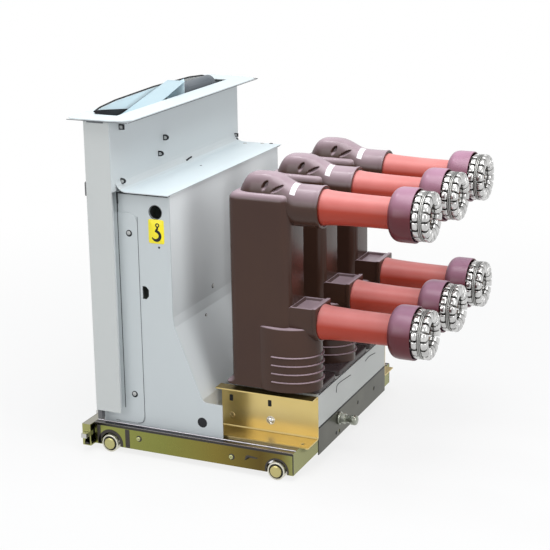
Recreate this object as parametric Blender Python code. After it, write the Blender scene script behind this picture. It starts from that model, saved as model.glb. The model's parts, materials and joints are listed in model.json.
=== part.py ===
"""Withdrawable indoor vacuum circuit breaker with three embedded poles.

Run with blender --background --python part.py, or from Blender's text editor.
Sizes are in millimetres and become metres when a mesh is made. The wheels stand
on z = 0, the operator's side faces -Y and the contact arms point along +Y. Depths
are measured from the rear face of the upper box, and every piece is then moved
back by MID_Y, so that the origin lies under the middle of the whole object.
"""

import math

import bmesh
import bpy
from mathutils import Vector

MM = 0.001
FIT = 0.3          # gap between pieces that touch
RUN = 0.5          # gap round a piece that slides or turns
ROUND = 16         # sides of a large round
SMALL = 12         # sides of a small one

# Phases, contacts and the interrupter's axis
PHASE_PITCH = 210.0
CONTACT_PITCH = 275.0
UPPER_ARM_Z = 634.0
LOWER_ARM_Z = UPPER_ARM_Z - CONTACT_PITCH
STROKE = 11.0
POLE_Y = 335.0

# Mechanism housing
HOUSING_HALF = 304.7
SIDE_SHEET = 2.5
SHEET = 2.0
HOUSING_REAR = 132.0
HOUSING_TOP = 655.0
SLANT_TOP_Z = 356.0
SLANT_DROP = (4.0, 24.0)
SLANT_LOW = (204.0, 160.0)
FOOT_Y = 256.0
FOOT_Z = SLANT_LOW[1] - 6.5
PAD_Y = (-40.0, 46.0)
PAD_Z = (76.0, 602.0)
PAD_CORNER = 20.0
PAD_PROUD = 1.5
LIFT_HOLE = (95.0, HOUSING_TOP - 46.0, 16.0)
FOOT_HOLE = (202.0, 103.0, 13.0)
D_SLOT_Y = (53.0, 70.0)
D_SLOT_Z = (394.0, 426.0)
D_SLOT_CORNER = (7.0, 8.0)

# Upper box and front panel
BOX_HALF = HOUSING_HALF + 31.3
PANEL_FRONT = -69.0
PANEL_LOW = 108.0
RIM_TOP = 828.0
RIM_HALF = BOX_HALF + 16.0
RIM_REAR = 57.0
RIM_FRONT = PANEL_FRONT - 37.0
TONGUE_HALF = BOX_HALF - 48.0
TONGUE_Z = RIM_TOP + 22.0
TONGUE_SHOULDER = 16.0
TOP_PLATE_HALF = HOUSING_HALF + 13.3
TOP_PLATE_REAR = HOUSING_REAR + 5.0
BEND_R = 26.0

# Trough and control plug in the open top
TROUGH_Z = RIM_TOP - 38.0
TROUGH_HALF = TONGUE_HALF - 2.0
TROUGH_END = TONGUE_HALF - 48.0
TROUGH_RISE = (12.0, 24.0)
PARTITION_X = -23.0
PLUG_X = (-232.0, -40.0)
PLUG_STRAIGHT = 30.0
NECK_R = 15.0
NECK_LONG = 30.0

# Controls on the panel
BUTTON_AT = {"close_button": (-40.0, 500.0), "open_button": (40.0, 500.0)}
BUTTON_R = 12.0
BUTTON_PROUD = 11.0
BUTTON_LONG = 34.0
BUTTON_STEM_R = 5.0
BUTTON_STEM_LONG = 14.0
CHARGE_AT = (-60.0, 360.0)
CHARGE_R = 10.0
CHARGE_PROUD = 10.0
FLAT_HALF = 7.0
FLAT_LONG = 16.0
FLAG_X = 60.0
FLAG_Z = 430.0
FLAG_R = 22.0
WINDOW_HALF = (14.0, 9.0)

# Charging unit
GEAR_X = (CHARGE_AT[0] - 44.0, CHARGE_AT[0] + 76.0)
GEAR_Z = (CHARGE_AT[1] - 60.0, CHARGE_AT[1] + 64.0)
GEAR_DEPTH = 96.0
GEAR_CORNER = 10.0
MOTOR_R = 38.0
MOTOR_LONG = 134.0
MOTOR_FOOT = (24.0, 114.0)
MOTOR_FOOT_HALF_Z = 32.0
MOTOR_FOOT_DEPTH = 30.0
CHARGE_BORE_DEPTH = 24.0

# Pole tray
TRAY_HALF = PHASE_PITCH + 16.0
TRAY_FRONT = POLE_Y - 76.5
TRAY_REAR = POLE_Y + 134.0
TRAY_TOP = 183.0
TRAY_LOW = 100.0
TRAY_SHEET = 3.0

# Truck
TRUCK_HALF = HOUSING_HALF + 20.3
TRUCK_FRONT = PANEL_FRONT - 15.0
TRUCK_REAR = TRAY_REAR - 23.0
TRUCK_LOW = 15.0
TRUCK_TOP = 70.0
TRUCK_SHEET = 3.0
TRUCK_FLANGE = 40.0
CROSS_DEPTH = 30.0
WHEEL_R = 22.0
WHEEL_WIDE = 20.0
WHEEL_OUT = TRUCK_HALF + 5.0
WHEEL_BEVEL = 1.5
FRONT_WHEEL_Y = TRUCK_FRONT + 44.0
REAR_WHEEL_Y = TRUCK_REAR - 42.0
ARCH_R = WHEEL_R + 5.0
BEARER_HALF = 19.0
BEARER_SHEET = 5.0
AXLE_R = 6.0
BEAM_HALF = TRUCK_HALF + 20.0
BEAM_DEPTH = 22.7
BEAM_REAR = TRUCK_FRONT - FIT
BEAM_FRONT = BEAM_REAR - BEAM_DEPTH
BEAM_ARCH_R = 7.0
BEARING_HALF = 22.0
SCREW_R = 9.0
SCREW_Z = 42.0
SCREW_REAR = 245.0
SCREW_END_R = SCREW_R - 2.0
THRUST_R = SCREW_R + 4.0
THRUST_Y = (BEAM_FRONT + 8.0, BEAM_FRONT + 15.0)
NUT_HALF = 20.0
NUT_LONG = 34.0
BOLT_REACH = 15.0
BOLT_TRAVEL = 22.0
BOLT_INSIDE = 75.0
BOLT_Z = (39.0, 50.0)
BOLT_Y = (BEAM_FRONT + TRUCK_SHEET + 2.0, BEAM_REAR - 3.0)
GUIDE_INSIDE = 40.0
GUIDE_HALF = 4.0
HANDLE_X = 235.0
HANDLE_OUT = 24.0
HANDLE_THICK = 11.0
HANDLE_HALF_W = 9.0
HANDLE_STEM_HALF = 6.0
HANDLE_Z = (BOLT_Z[0] - 11.0, BOLT_Z[1] + 11.0)

# Brackets and rear plate
BRACKET_X = TRAY_HALF + FIT + TRAY_SHEET
BRACKET_FRONT = TRAY_FRONT - 40.5
BRACKET_TOP = TRAY_TOP - 6.0
BRACKET_LIP = 33.0
BRACKET_FOOT = TRUCK_HALF - 35.0
BRACKET_SLOT_Y = (243.0, 344.5)
BRACKET_SLOT_Z = 145.0
BRACKET_SLOT = (4.5, 7.0)
BRACKET_HOLE = (BRACKET_FOOT - 20.0, TRAY_REAR - 22.0, 5.0)
BACK_SHEET = 2.5
BACK_PLATE_LOW = 31.0
BACK_FLANGE = 24.0
BACK_HOLES = ((-29.0, 70.0), (-143.0, 66.0), (96.0, 42.0))
BACK_HOLE_R = 5.0
EARTH_AT = (96.4, 76.0)
EARTH_FLANGE_R = 16.0
EARTH_NUT_R = 13.0
EARTH_NUT_LONG = 16.0
EARTH_PIN_R = 9.0
EARTH_HEAD_R = 12.5
EARTH_LONG = 48.0

# Pole castings
POLE_HALF_W = 52.0
POLE_FRONT = POLE_Y - 77.0
POLE_BACK = POLE_Y + 78.0
POLE_CORNER = 20.0
FOOT_FLARE = 15.0
FOOT_RISE = 18.0
SHOULDER_Z = UPPER_ARM_Z + 30.0
SHOULDER_R = 19.0
HUMP_RISE = 41.0
BARREL_Y = POLE_Y + 50.0
BARREL_HALF_W = 62.0
BARREL_HALF_D = 86.0
BARREL_TOP = LOWER_ARM_Z - 15.0
BARREL_BEVEL = (7.0, 4.0)
BARREL_SIDES = 16
SHED_Z = TRAY_TOP + 35.0
SHED_PITCH = 20.5
SHED_COUNT = 4
SHED_OUT = 5.0
SHED_THICK = 7.5
SHED_FRONT = BARREL_Y - 13.0
BASE_THICK = 13.0
BASE_IN = PHASE_PITCH / 2 - 2.0
BASE_OUT = BRACKET_X - PHASE_PITCH
BASE_AHEAD = 12.0
BASE_CORNER = 15.0

# Inside a pole
CAVITY_R = 44.6
CAVITY_LOW = LOWER_ARM_Z + 35.0
CAVITY_TOP = UPPER_ARM_Z - 28.0
SHELL_WALL = 9.0
ROD_BORE_R = 35.0
ROD_R = 20.0
ROD_LOW = TRAY_TOP + 43.0
ROD_TOP = LOWER_ARM_Z - 37.0
ROD_RIB_OUT = 7.0
ROD_RIB_Z = (LOWER_ARM_Z - 100.0, LOWER_ARM_Z - 72.0)
STEM_R = 14.0
STEM_BORE_R = STEM_R + 4.0
LINK_R = 10.0
PIN_R = 4.0
CONTACT_R = 25.0
CONTACT_THICK = 9.0

# Contact arms, from the pole outwards along +Y
ARM_TAIL_R = 20.0
ARM_TAIL_START = POLE_Y - 23.0
SEAT_DEPTH = 13.0
ARM_R = 32.0
SLEEVE_R = ARM_R + 10.0
SLEEVE_THIN_R = ARM_R + 4.5
SLEEVE_WAIST = 36.0
SLEEVE_TAPER = 100.0
SOCKET_R = SLEEVE_R + 7.0
UPPER_SOCKET_END = POLE_Y + 148.0
LOWER_SOCKET_END = POLE_Y + 142.0
LOWER_SOCKET_HALF_W = SLEEVE_R + 2.0
LOWER_SOCKET_ROOF = 3.0
LIP_GROWTH = 1.045
LIP_LONG = 7.0
TULIP_FACE = 746.0
TULIP_ROOT = TULIP_FACE - 46.0
TULIP_HUB = 8.0
TULIP_R = 57.5
TULIP_MOUTH_R = 28.0
TULIP_FINGERS = 12
FINGER_GAP_DEG = 3.0
ARM_TIP = TULIP_FACE - 24.0
COLLAR_END = TULIP_ROOT + TULIP_HUB
COLLAR_START = COLLAR_END - 59.0
COLLAR_R = TULIP_R + 5.1
COLLAR_WALL = 3.4

# Drive
LEVER_LONG = 60.0
SHAFT_Y = POLE_Y - LEVER_LONG
SHAFT_Z = TRAY_TOP - 43.0
SHAFT_R = 12.0
LEVER_THICK = 4.0
LEVER_HALF = (11.0, 10.0)
BLADE_THICK = 5.0
BLADE_HALF = 7.0
CRANK_X = (PHASE_PITCH / 2 - 9.0, PHASE_PITCH / 2 + 1.0)
CRANK_END_R = 7.0
CRANK_DROP = 28.0

MID_Y = (TULIP_FACE + BEAM_FRONT - HANDLE_OUT) / 2

STEEL = ((0.62, 0.63, 0.64), 0.9, 0.4)
COPPER = ((0.75, 0.47, 0.30), 1.0, 0.35)


def material(name, look):
    """One Principled material with a plain colour, metalness and roughness."""
    colour, metallic, rough = look
    mat = bpy.data.materials.new(name)
    mat.use_nodes = True
    shader = mat.node_tree.nodes["Principled BSDF"]
    shader.inputs["Base Color"].default_value = (*colour, 1.0)
    shader.inputs["Metallic"].default_value = metallic
    shader.inputs["Roughness"].default_value = rough
    return mat


def build(name, verts, faces, smooth=False):
    """Makes an object from points in millimetres and lists of point numbers."""
    mesh = bpy.data.meshes.new(name)
    mesh.from_pydata([(x * MM, (y - MID_Y) * MM, z * MM) for x, y, z in verts], [], faces)
    bm = bmesh.new()
    bm.from_mesh(mesh)
    bmesh.ops.recalc_face_normals(bm, faces=bm.faces)
    bm.to_mesh(mesh)
    bm.free()
    obj = bpy.data.objects.new(name, mesh)
    bpy.context.scene.collection.objects.link(obj)
    for poly in mesh.polygons:
        poly.use_smooth = smooth
    return obj


def place(axis, a, b, along):
    """Puts an outline point (a, b) at a distance along an axis: x takes (y, z), y (x, z), z (x, y)."""
    return {"x": (along, a, b), "y": (a, along, b), "z": (a, b, along)}[axis]


def prism(name, axis, outline, lo, hi):
    """Extrudes a closed outline between two distances along an axis."""
    n = len(outline)
    verts = [place(axis, a, b, lo) for a, b in outline] + [place(axis, a, b, hi) for a, b in outline]
    faces = [(i, (i + 1) % n, (i + 1) % n + n, i + n) for i in range(n)]
    faces += [tuple(range(n)), tuple(range(n, 2 * n))]
    return build(name, verts, faces)


def box(name, x, y, z):
    """A box from three (low, high) pairs."""
    return prism(name, "z", rounded(x[0], y[0], x[1], y[1], 0), z[0], z[1])


def arc(cx, cy, r, start, end, steps):
    """Points on an arc, angles in degrees."""
    angles = [math.radians(start + (end - start) * i / steps) for i in range(steps + 1)]
    return [(cx + r * math.cos(t), cy + r * math.sin(t)) for t in angles]


def rounded(x0, y0, x1, y1, r, steps=2):
    """A rectangle's outline with round corners of radius r, or square ones when r is 0."""
    if r == 0:
        return [(x0, y0), (x1, y0), (x1, y1), (x0, y1)]
    return (arc(x0 + r, y0 + r, r, 180, 270, steps) + arc(x1 - r, y0 + r, r, 270, 360, steps)
            + arc(x1 - r, y1 - r, r, 0, 90, steps) + arc(x0 + r, y1 - r, r, 90, 180, steps))


def ellipse(cx, cy, rx, ry, steps):
    """An ellipse's outline."""
    return [(cx + rx * math.cos(2 * math.pi * i / steps), cy + ry * math.sin(2 * math.pi * i / steps))
            for i in range(steps)]


def folded(path, thick):
    """The outline of a bent sheet: the path on one face, its mitred offset to the left on the other."""
    pts = [Vector(p) for p in path]
    offset = []
    for i, p in enumerate(pts):
        before = (p - pts[i - 1]).normalized() if i else None
        after = (pts[i + 1] - p).normalized() if i + 1 < len(pts) else None
        sides = [Vector((-d.y, d.x)) for d in (before, after) if d is not None]
        side = sum(sides, Vector((0, 0))).normalized()
        offset.append(p + side * thick / side.dot(sides[0]))
    return [tuple(p) for p in pts] + [tuple(p) for p in reversed(offset)]


def lathe(name, axis, centre, profile, steps=ROUND):
    """Turns a closed profile of (radius, distance) points round a line along an axis."""
    rows = []
    verts = []
    for radius, along in profile:
        if radius == 0:
            rows.append([len(verts)] * steps)
            verts.append(place(axis, centre[0], centre[1], along))
            continue
        rows.append([len(verts) + i for i in range(steps)])
        ring = ellipse(centre[0], centre[1], radius, radius, steps)
        verts += [place(axis, a, b, along) for a, b in ring]
    faces = []
    for row, after in zip(rows, rows[1:] + rows[:1]):
        for i in range(steps):
            j = (i + 1) % steps
            corners = list(dict.fromkeys((row[i], row[j], after[j], after[i])))
            if len(corners) > 2:
                faces.append(corners)
    return build(name, verts, faces)


def cylinder(name, axis, centre, r, lo, hi, steps=SMALL):
    """A plain cylinder along an axis."""
    return lathe(name, axis, centre, [(0, lo), (r, lo), (r, hi), (0, hi)], steps)


def loft(name, rings, heights):
    """Joins outlines of equal point count, one above the other, and caps both ends."""
    n = len(rings[0])
    verts = [(a, b, z) for ring, z in zip(rings, heights) for a, b in ring]
    faces = [(k * n + i, k * n + (i + 1) % n, (k + 1) * n + (i + 1) % n, (k + 1) * n + i)
             for k in range(len(rings) - 1) for i in range(n)]
    faces += [tuple(range(n)), tuple(range(len(verts) - n, len(verts)))]
    return build(name, verts, faces)


def shade_by_angle(obj, limit=40.0):
    """Smooth faces with the edges past the limit left sharp."""
    bm = bmesh.new()
    bm.from_mesh(obj.data)
    for edge in bm.edges:
        edge.smooth = len(edge.link_faces) == 2 and edge.calc_face_angle(0.0) < math.radians(limit)
    for face in bm.faces:
        face.smooth = True
    bm.to_mesh(obj.data)
    bm.free()


def combine(obj, others, operation):
    """Applies an exact boolean with each of the others in turn and removes them."""
    for other in others:
        other.hide_render = True
        other.display_type = "WIRE"
        mod = obj.modifiers.new("boolean", "BOOLEAN")
        mod.operation = operation
        mod.solver = "EXACT"
        mod.object = other
        solid = bpy.data.meshes.new_from_object(obj.evaluated_get(bpy.context.evaluated_depsgraph_get()))
        obj.modifiers.clear()
        used = (obj.data, other.data)
        obj.data = solid
        bpy.data.objects.remove(other)
        for mesh in used:
            bpy.data.meshes.remove(mesh)
        solid.name = obj.name
        join_flat_faces(solid)
    return obj


def join_flat_faces(mesh):
    """Welds the cut's stray points and joins faces that lie in one plane."""
    bm = bmesh.new()
    bm.from_mesh(mesh)
    bmesh.ops.remove_doubles(bm, verts=bm.verts, dist=0.000001)
    bmesh.ops.dissolve_limit(bm, angle_limit=math.radians(0.1), verts=bm.verts, edges=bm.edges)
    bm.to_mesh(mesh)
    bm.free()


def cut(obj, *others):
    """Takes the others away from the object."""
    return combine(obj, others, "DIFFERENCE")


def fuse(obj, *others):
    """Adds the others to the object."""
    return combine(obj, others, "UNION")


def finish(obj, mat, pivot=None, smooth=True):
    """Gives the piece its material and puts its origin on its joint's axis."""
    obj.data.materials.clear()
    obj.data.materials.append(mat)
    if smooth:
        shade_by_angle(obj)
    if pivot is not None:
        origin = Vector((pivot[0], pivot[1] - MID_Y, pivot[2])) * MM
        for vert in obj.data.vertices:
            vert.co -= origin
        obj.location = origin
    return obj


def copy_to(obj, name, dx=0.0, dz=0.0):
    """A second object on the same mesh, moved sideways or up."""
    twin = bpy.data.objects.new(name, obj.data)
    bpy.context.scene.collection.objects.link(twin)
    twin.location = obj.location + Vector((dx, 0, dz)) * MM
    return twin


def mirrored(obj, name):
    """The opposite-hand copy across the plane x = 0, with a mesh of its own."""
    mesh = obj.data.copy()
    mesh.name = name
    for vert in mesh.vertices:
        vert.co.x = -vert.co.x
    mesh.flip_normals()
    twin = bpy.data.objects.new(name, mesh)
    bpy.context.scene.collection.objects.link(twin)
    twin.location = (-obj.location.x, obj.location.y, obj.location.z)
    return twin


def channel(a0, a1, b0, b1, thick, open_side):
    """A C section's outline in the box a0..a1 by b0..b1, open towards the low or high side of a."""
    if open_side == "low":
        inner = [(a0, b1 - thick), (a1 - thick, b1 - thick), (a1 - thick, b0 + thick), (a0, b0 + thick)]
        return [(a0, b0), (a1, b0), (a1, b1), (a0, b1)] + inner
    inner = [(a1, b0 + thick), (a0 + thick, b0 + thick), (a0 + thick, b1 - thick), (a1, b1 - thick)]
    return [(a1, b1), (a0, b1), (a0, b0), (a1, b0)] + inner


def chassis(mat):
    """Two side channels, two cross channels, the screw's nut, wheel bearers and stub axles."""
    side = channel(TRUCK_HALF - TRUCK_FLANGE, TRUCK_HALF, TRUCK_LOW, TRUCK_TOP, TRUCK_SHEET, "low")
    inner = TRUCK_HALF - TRUCK_SHEET / 2
    frame = prism("chassis_frame", "y", side, TRUCK_FRONT, TRUCK_REAR)
    far = prism("far_side", "y", [(-a, b) for a, b in side], TRUCK_FRONT, TRUCK_REAR)
    front = channel(TRUCK_FRONT, TRUCK_FRONT + CROSS_DEPTH, TRUCK_LOW, TRUCK_TOP, TRUCK_SHEET, "high")
    rear = channel(TRUCK_REAR - CROSS_DEPTH, TRUCK_REAR, TRUCK_LOW, TRUCK_TOP, TRUCK_SHEET, "low")
    parts = [far, prism("front_cross", "x", front, -inner, inner),
             prism("rear_cross", "x", rear, -inner, inner)]
    nut_y = TRUCK_FRONT + TRUCK_SHEET / 2
    inside_z = (TRUCK_LOW + 1, TRUCK_TOP - 1)
    parts.append(box("nut", (-NUT_HALF, NUT_HALF), (nut_y, nut_y + NUT_LONG), inside_z))
    fuse(frame, *parts)
    wheel_in = WHEEL_OUT - WHEEL_WIDE
    bearer = (wheel_in - 7 - BEARER_SHEET, wheel_in - 7)
    arches = []
    stubs = []
    for side_sign in (-1, 1):
        for wheel_y in (FRONT_WHEEL_Y, REAR_WHEEL_Y):
            span = sorted((side_sign * (wheel_in - 4), side_sign * (TRUCK_HALF + 5)))
            arches.append(cylinder("arch", "x", (wheel_y, WHEEL_R), ARCH_R, *span))
            x = sorted(side_sign * v for v in bearer)
            stubs.append(box("bearer", x, (wheel_y - BEARER_HALF, wheel_y + BEARER_HALF), inside_z))
            stubs.append(axle(side_sign, wheel_y, bearer[0] + 2))
    bore = cylinder("screw_bore", "y", (0, SCREW_Z), SCREW_R + RUN, TRUCK_FRONT - 5, nut_y + NUT_LONG + 5)
    cut(frame, *arches, bore)
    fuse(frame, *stubs)
    return finish(frame, mat)


def axle(side_sign, wheel_y, start):
    """A stub axle with a shoulder inside its wheel and a head outside it."""
    inside = WHEEL_OUT - WHEEL_WIDE - FIT
    outside = WHEEL_OUT + FIT
    profile = [(0, start), (AXLE_R + 4, start), (AXLE_R + 4, inside), (AXLE_R, inside),
               (AXLE_R, outside), (AXLE_R + 3, outside), (AXLE_R + 3, outside + 2.5), (0, outside + 2.5)]
    profile = [(r, side_sign * x) for r, x in profile]
    return lathe("axle", "x", (wheel_y, WHEEL_R), profile, SMALL)


def wheels(mat):
    """Four flat-tread wheels, each turning on its stub axle."""
    low, high = WHEEL_OUT - WHEEL_WIDE, WHEEL_OUT
    bore = AXLE_R + FIT
    b = WHEEL_BEVEL
    profile = [(bore, low), (WHEEL_R - b, low), (WHEEL_R, low + b), (WHEEL_R, high - b), (WHEEL_R - b, high),
               (bore, high)]
    made = []
    for label, wheel_y in (("front", FRONT_WHEEL_Y), ("rear", REAR_WHEEL_Y)):
        wheel = lathe(f"wheel_{label}_right", "x", (wheel_y, WHEEL_R), profile)
        finish(wheel, mat, pivot=(WHEEL_OUT - WHEEL_WIDE / 2, wheel_y, WHEEL_R))
        made += [wheel, mirrored(wheel, f"wheel_{label}_left")]
    return made


def front_beam(mat):
    """The racking beam that holds on to the cubicle: a channel with end plates and bolt slots."""
    rear, front = BEAM_REAR, BEAM_FRONT
    profile = channel(front, rear, TRUCK_LOW, TRUCK_TOP, TRUCK_SHEET, "high")
    beam = prism("front_beam", "x", profile, -BEAM_HALF, BEAM_HALF)
    low, high = TRUCK_LOW + 1, TRUCK_TOP - 1
    end = [(front + 1, low)] + arc((front + rear) / 2, low, BEAM_ARCH_R, 180, 0, 6)
    end += [(rear, low), (rear, high), (front + 1, high)]
    plates = [prism("end", "x", end, BEAM_HALF - TRUCK_SHEET, BEAM_HALF),
              prism("end", "x", end, -BEAM_HALF, TRUCK_SHEET - BEAM_HALF)]
    guides = [box("guide", (x - GUIDE_HALF, x + GUIDE_HALF), (front + 1, rear), (low, high))
              for x in (GUIDE_INSIDE - HANDLE_X, HANDLE_X - GUIDE_INSIDE)]
    bearing = box("bearing", (-BEARING_HALF, BEARING_HALF), (front + 1, rear), (low, high))
    fuse(beam, *plates, *guides, bearing)
    way_y = (BOLT_Y[0] - RUN, BOLT_Y[1] + RUN)
    way_z = (BOLT_Z[0] - RUN, BOLT_Z[1] + RUN)
    holes = []
    for side_sign in (-1, 1):
        x = sorted((side_sign * (HANDLE_X - BOLT_INSIDE - 10), side_sign * (BEAM_HALF + 5)))
        holes.append(box("bolt_way", x, way_y, way_z))
        stem = HANDLE_STEM_HALF + 1
        x = sorted((side_sign * (HANDLE_X - BOLT_TRAVEL - stem), side_sign * (HANDLE_X + stem)))
        holes.append(box("handle_slot", x, (front - 5, front + TRUCK_SHEET + 4), way_z))
    holes.append(cylinder("screw_hole", "y", (0, SCREW_Z), SCREW_R + RUN, front - 5, rear + 5))
    holes.append(cylinder("collar_hole", "y", (0, SCREW_Z), THRUST_R + RUN, *THRUST_Y))
    cut(beam, *holes)
    return finish(beam, mat)


def lock_bolt(mat):
    """The right-hand latch bolt with its pull handle; it reaches past the beam's end plate."""
    bolt = box("lock_bolt_right", (HANDLE_X - BOLT_INSIDE, BEAM_HALF + BOLT_REACH), BOLT_Y, BOLT_Z)
    handle_y = (BEAM_FRONT - HANDLE_OUT, BEAM_FRONT - HANDLE_OUT + HANDLE_THICK)
    stem = box("stem", (HANDLE_X - HANDLE_STEM_HALF, HANDLE_X + HANDLE_STEM_HALF),
               (handle_y[1] - 3, BOLT_Y[0] + 1), (BOLT_Z[0] + 1, BOLT_Z[1] - 1))
    shape = rounded(HANDLE_X - HANDLE_HALF_W, handle_y[0], HANDLE_X + HANDLE_HALF_W, handle_y[1], 4)
    fuse(bolt, stem, prism("grip", "z", shape, *HANDLE_Z))
    return finish(bolt, mat)


def lead_screw(mat):
    """The racking screw: crank end, thrust collar in the beam and a plain rod through the nut."""
    start = BEAM_FRONT + 2
    low, high = THRUST_Y[0] + RUN, THRUST_Y[1] - RUN
    profile = [(0, start), (SCREW_END_R, start), (SCREW_END_R, start + 4), (SCREW_R, start + 4),
               (SCREW_R, low), (THRUST_R, low), (THRUST_R, high), (SCREW_R, high), (SCREW_R, SCREW_REAR - 2),
               (SCREW_END_R, SCREW_REAR), (0, SCREW_REAR)]
    screw = lathe("lead_screw", "y", (0, SCREW_Z), profile, SMALL)
    return finish(screw, mat, pivot=(0, BEAM_FRONT, SCREW_Z))


def slant_knee():
    """The point just below the bend where the rear edge leaves the vertical."""
    return (HOUSING_REAR + SLANT_DROP[0], SLANT_TOP_Z - SLANT_DROP[1])


def side_plate(mat):
    """The right frame plate: slanted rear edge, foot, raised strip, lifting hole and slots."""
    low = TRUCK_TOP + FIT
    top = HOUSING_TOP - SHEET - FIT
    front = PANEL_FRONT + SHEET + FIT
    outline = [(front, low), (FOOT_Y, low), (FOOT_Y, FOOT_Z), (SLANT_LOW[0] + 16, FOOT_Z),
               (SLANT_LOW[0] + 6, FOOT_Z + 1.5), SLANT_LOW, slant_knee(), (HOUSING_REAR, SLANT_TOP_Z),
               (HOUSING_REAR, top), (front, top)]
    plate = prism("side_plate_right", "x", outline, HOUSING_HALF - SIDE_SHEET, HOUSING_HALF)
    pad = rounded(PAD_Y[0], PAD_Z[0], PAD_Y[1], PAD_Z[1], PAD_CORNER)
    fuse(plate, prism("pad", "x", pad, HOUSING_HALF - 1, HOUSING_HALF + PAD_PROUD))
    span = (HOUSING_HALF - 10, HOUSING_HALF + 10)
    (y0, y1), (z0, z1), (dy, dz) = D_SLOT_Y, D_SLOT_Z, D_SLOT_CORNER
    d_slot = [(y0, z0), (y1 - dy, z0), (y1, z0 + dz), (y1, z1 - dz), (y1 - dy, z1), (y0, z1)]
    cut(plate, cylinder("lift", "x", LIFT_HOLE[:2], LIFT_HOLE[2], *span),
        cylinder("foot", "x", FOOT_HOLE[:2], FOOT_HOLE[2], *span), prism("slot", "x", d_slot, *span))
    return finish(plate, mat)


def housing_back(mat):
    """The rear cover sheet, bent to follow the side plates' slanted edge."""
    path = [(HOUSING_REAR, HOUSING_TOP - SHEET - FIT), (HOUSING_REAR, SLANT_TOP_Z), slant_knee(), SLANT_LOW,
            (SLANT_LOW[0] + 2, TRUCK_TOP + FIT)]
    half = HOUSING_HALF - SIDE_SHEET - FIT
    cover = prism("housing_back", "x", folded(path[::-1], SHEET), -half, half)
    return finish(cover, mat)


def rim_outline():
    """The rim's outer edge seen from above, with its rear corners cut off."""
    right = [(RIM_HALF - 14, RIM_FRONT), (RIM_HALF, RIM_FRONT + 12), (RIM_HALF, 2), (RIM_HALF - 6, 36),
             (RIM_HALF - 26, RIM_REAR)]
    return right + [(-x, y) for x, y in reversed(right)]


def upper_box(mat):
    """The upper box's rear wall, the rim round its open top and the bent top of the housing."""
    arc_pts = arc(BEND_R, HOUSING_TOP + BEND_R, BEND_R, 180, 270, 5)
    path = [(0, RIM_TOP - 1)] + arc_pts + [(TOP_PLATE_REAR, HOUSING_TOP)]
    sheet = prism("upper_box", "x", folded(path, -SHEET), -TOP_PLATE_HALF, TOP_PLATE_HALF)
    wall_low = HOUSING_TOP + FIT
    wall = box("wall", (-BOX_HALF, BOX_HALF), (-SHEET, 0), (wall_low, RIM_TOP - 1))
    rim = prism("rim", "z", rim_outline(), RIM_TOP - SHEET, RIM_TOP)
    fuse(sheet, wall, rim)
    mouth = box("mouth", (-TONGUE_HALF - FIT, TONGUE_HALF + FIT), (PANEL_FRONT - FIT, -SHEET - 5),
                (RIM_TOP - 10, RIM_TOP + 10))
    cut(sheet, mouth)
    return finish(sheet, mat)


def front_panel(mat):
    """The operator's panel with returned sides, an arched tongue on top and the control openings."""
    back = PANEL_FRONT + SHEET
    returns = RIM_TOP - SHEET - FIT
    panel = prism("front_panel", "y", tongue_outline(returns), PANEL_FRONT, back)
    sides = [box("return", sorted((s * (BOX_HALF - SHEET), s * BOX_HALF)), (PANEL_FRONT, -SHEET - FIT),
                 (PANEL_LOW, returns)) for s in (-1, 1)]
    fuse(panel, *sides)
    span = (PANEL_FRONT - 5, back + 5)
    holes = [cylinder("button_hole", "y", at, BUTTON_R + RUN, *span) for at in BUTTON_AT.values()]
    holes.append(cylinder("charge_hole", "y", CHARGE_AT, CHARGE_R + RUN, *span))
    w, h = WINDOW_HALF
    holes.append(box("window", (FLAG_X - w, FLAG_X + w), span, (FLAG_Z - h, FLAG_Z + h)))
    cut(panel, *holes)
    return finish(panel, mat)


def tongue_outline(shoulder):
    """The panel's outline: full width up to the rim, then the tongue with its bowed top edge."""
    rise = TONGUE_Z - TONGUE_SHOULDER
    bow = [(TONGUE_HALF - 2, rise), (TONGUE_HALF - 24, rise + 6), (TONGUE_HALF * 0.66, TONGUE_Z - 4)]
    right = [(BOX_HALF, PANEL_LOW), (BOX_HALF, shoulder), (TONGUE_HALF, shoulder)] + bow
    return right + [(0, TONGUE_Z)] + [(-x, z) for x, z in reversed(right)]


def inner_tray(mat):
    """The trough in the open top: near end wall, floor and the partition beside the plug."""
    y = (PANEL_FRONT + SHEET + FIT, -SHEET - FIT)
    run, rise = TROUGH_RISE
    path = [(-TROUGH_HALF, TROUGH_Z), (TROUGH_END, TROUGH_Z), (TROUGH_END + run, TROUGH_Z + rise)]
    tray = prism("inner_tray", "y", folded(path, SHEET), *y)
    plate = [(y[0], TROUGH_Z + 1), (y[1], TROUGH_Z + 1), (y[1] - 6, RIM_TOP - 12), (y[1] - 6, TONGUE_Z + 14),
             (y[0] + 10, TONGUE_Z - 8), (y[0], RIM_TOP - 12)]
    fuse(tray, prism("partition", "x", plate, PARTITION_X - SHEET / 2, PARTITION_X + SHEET / 2))
    return finish(tray, mat)


def control_plug(mat):
    """The secondary plug lying in the trough: round-backed body, flange and cable neck."""
    floor = TROUGH_Z + SHEET + FIT
    front = PANEL_FRONT + SHEET + FIT + 2
    rear = -SHEET - 9
    mid = (front + rear) / 2
    top = floor + PLUG_STRAIGHT
    body = [(front, floor), (rear, floor), (rear, top)] + arc(mid, top, (rear - front) / 2, 15, 165, 8)
    body.append((front, top))
    plug = prism("control_plug", "x", body, *PLUG_X)
    neck = cylinder("neck", "x", (mid, floor + 24), NECK_R, PLUG_X[0] - NECK_LONG, PLUG_X[0] + 2)
    fuse(plug, neck)
    return finish(plug, mat)


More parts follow.
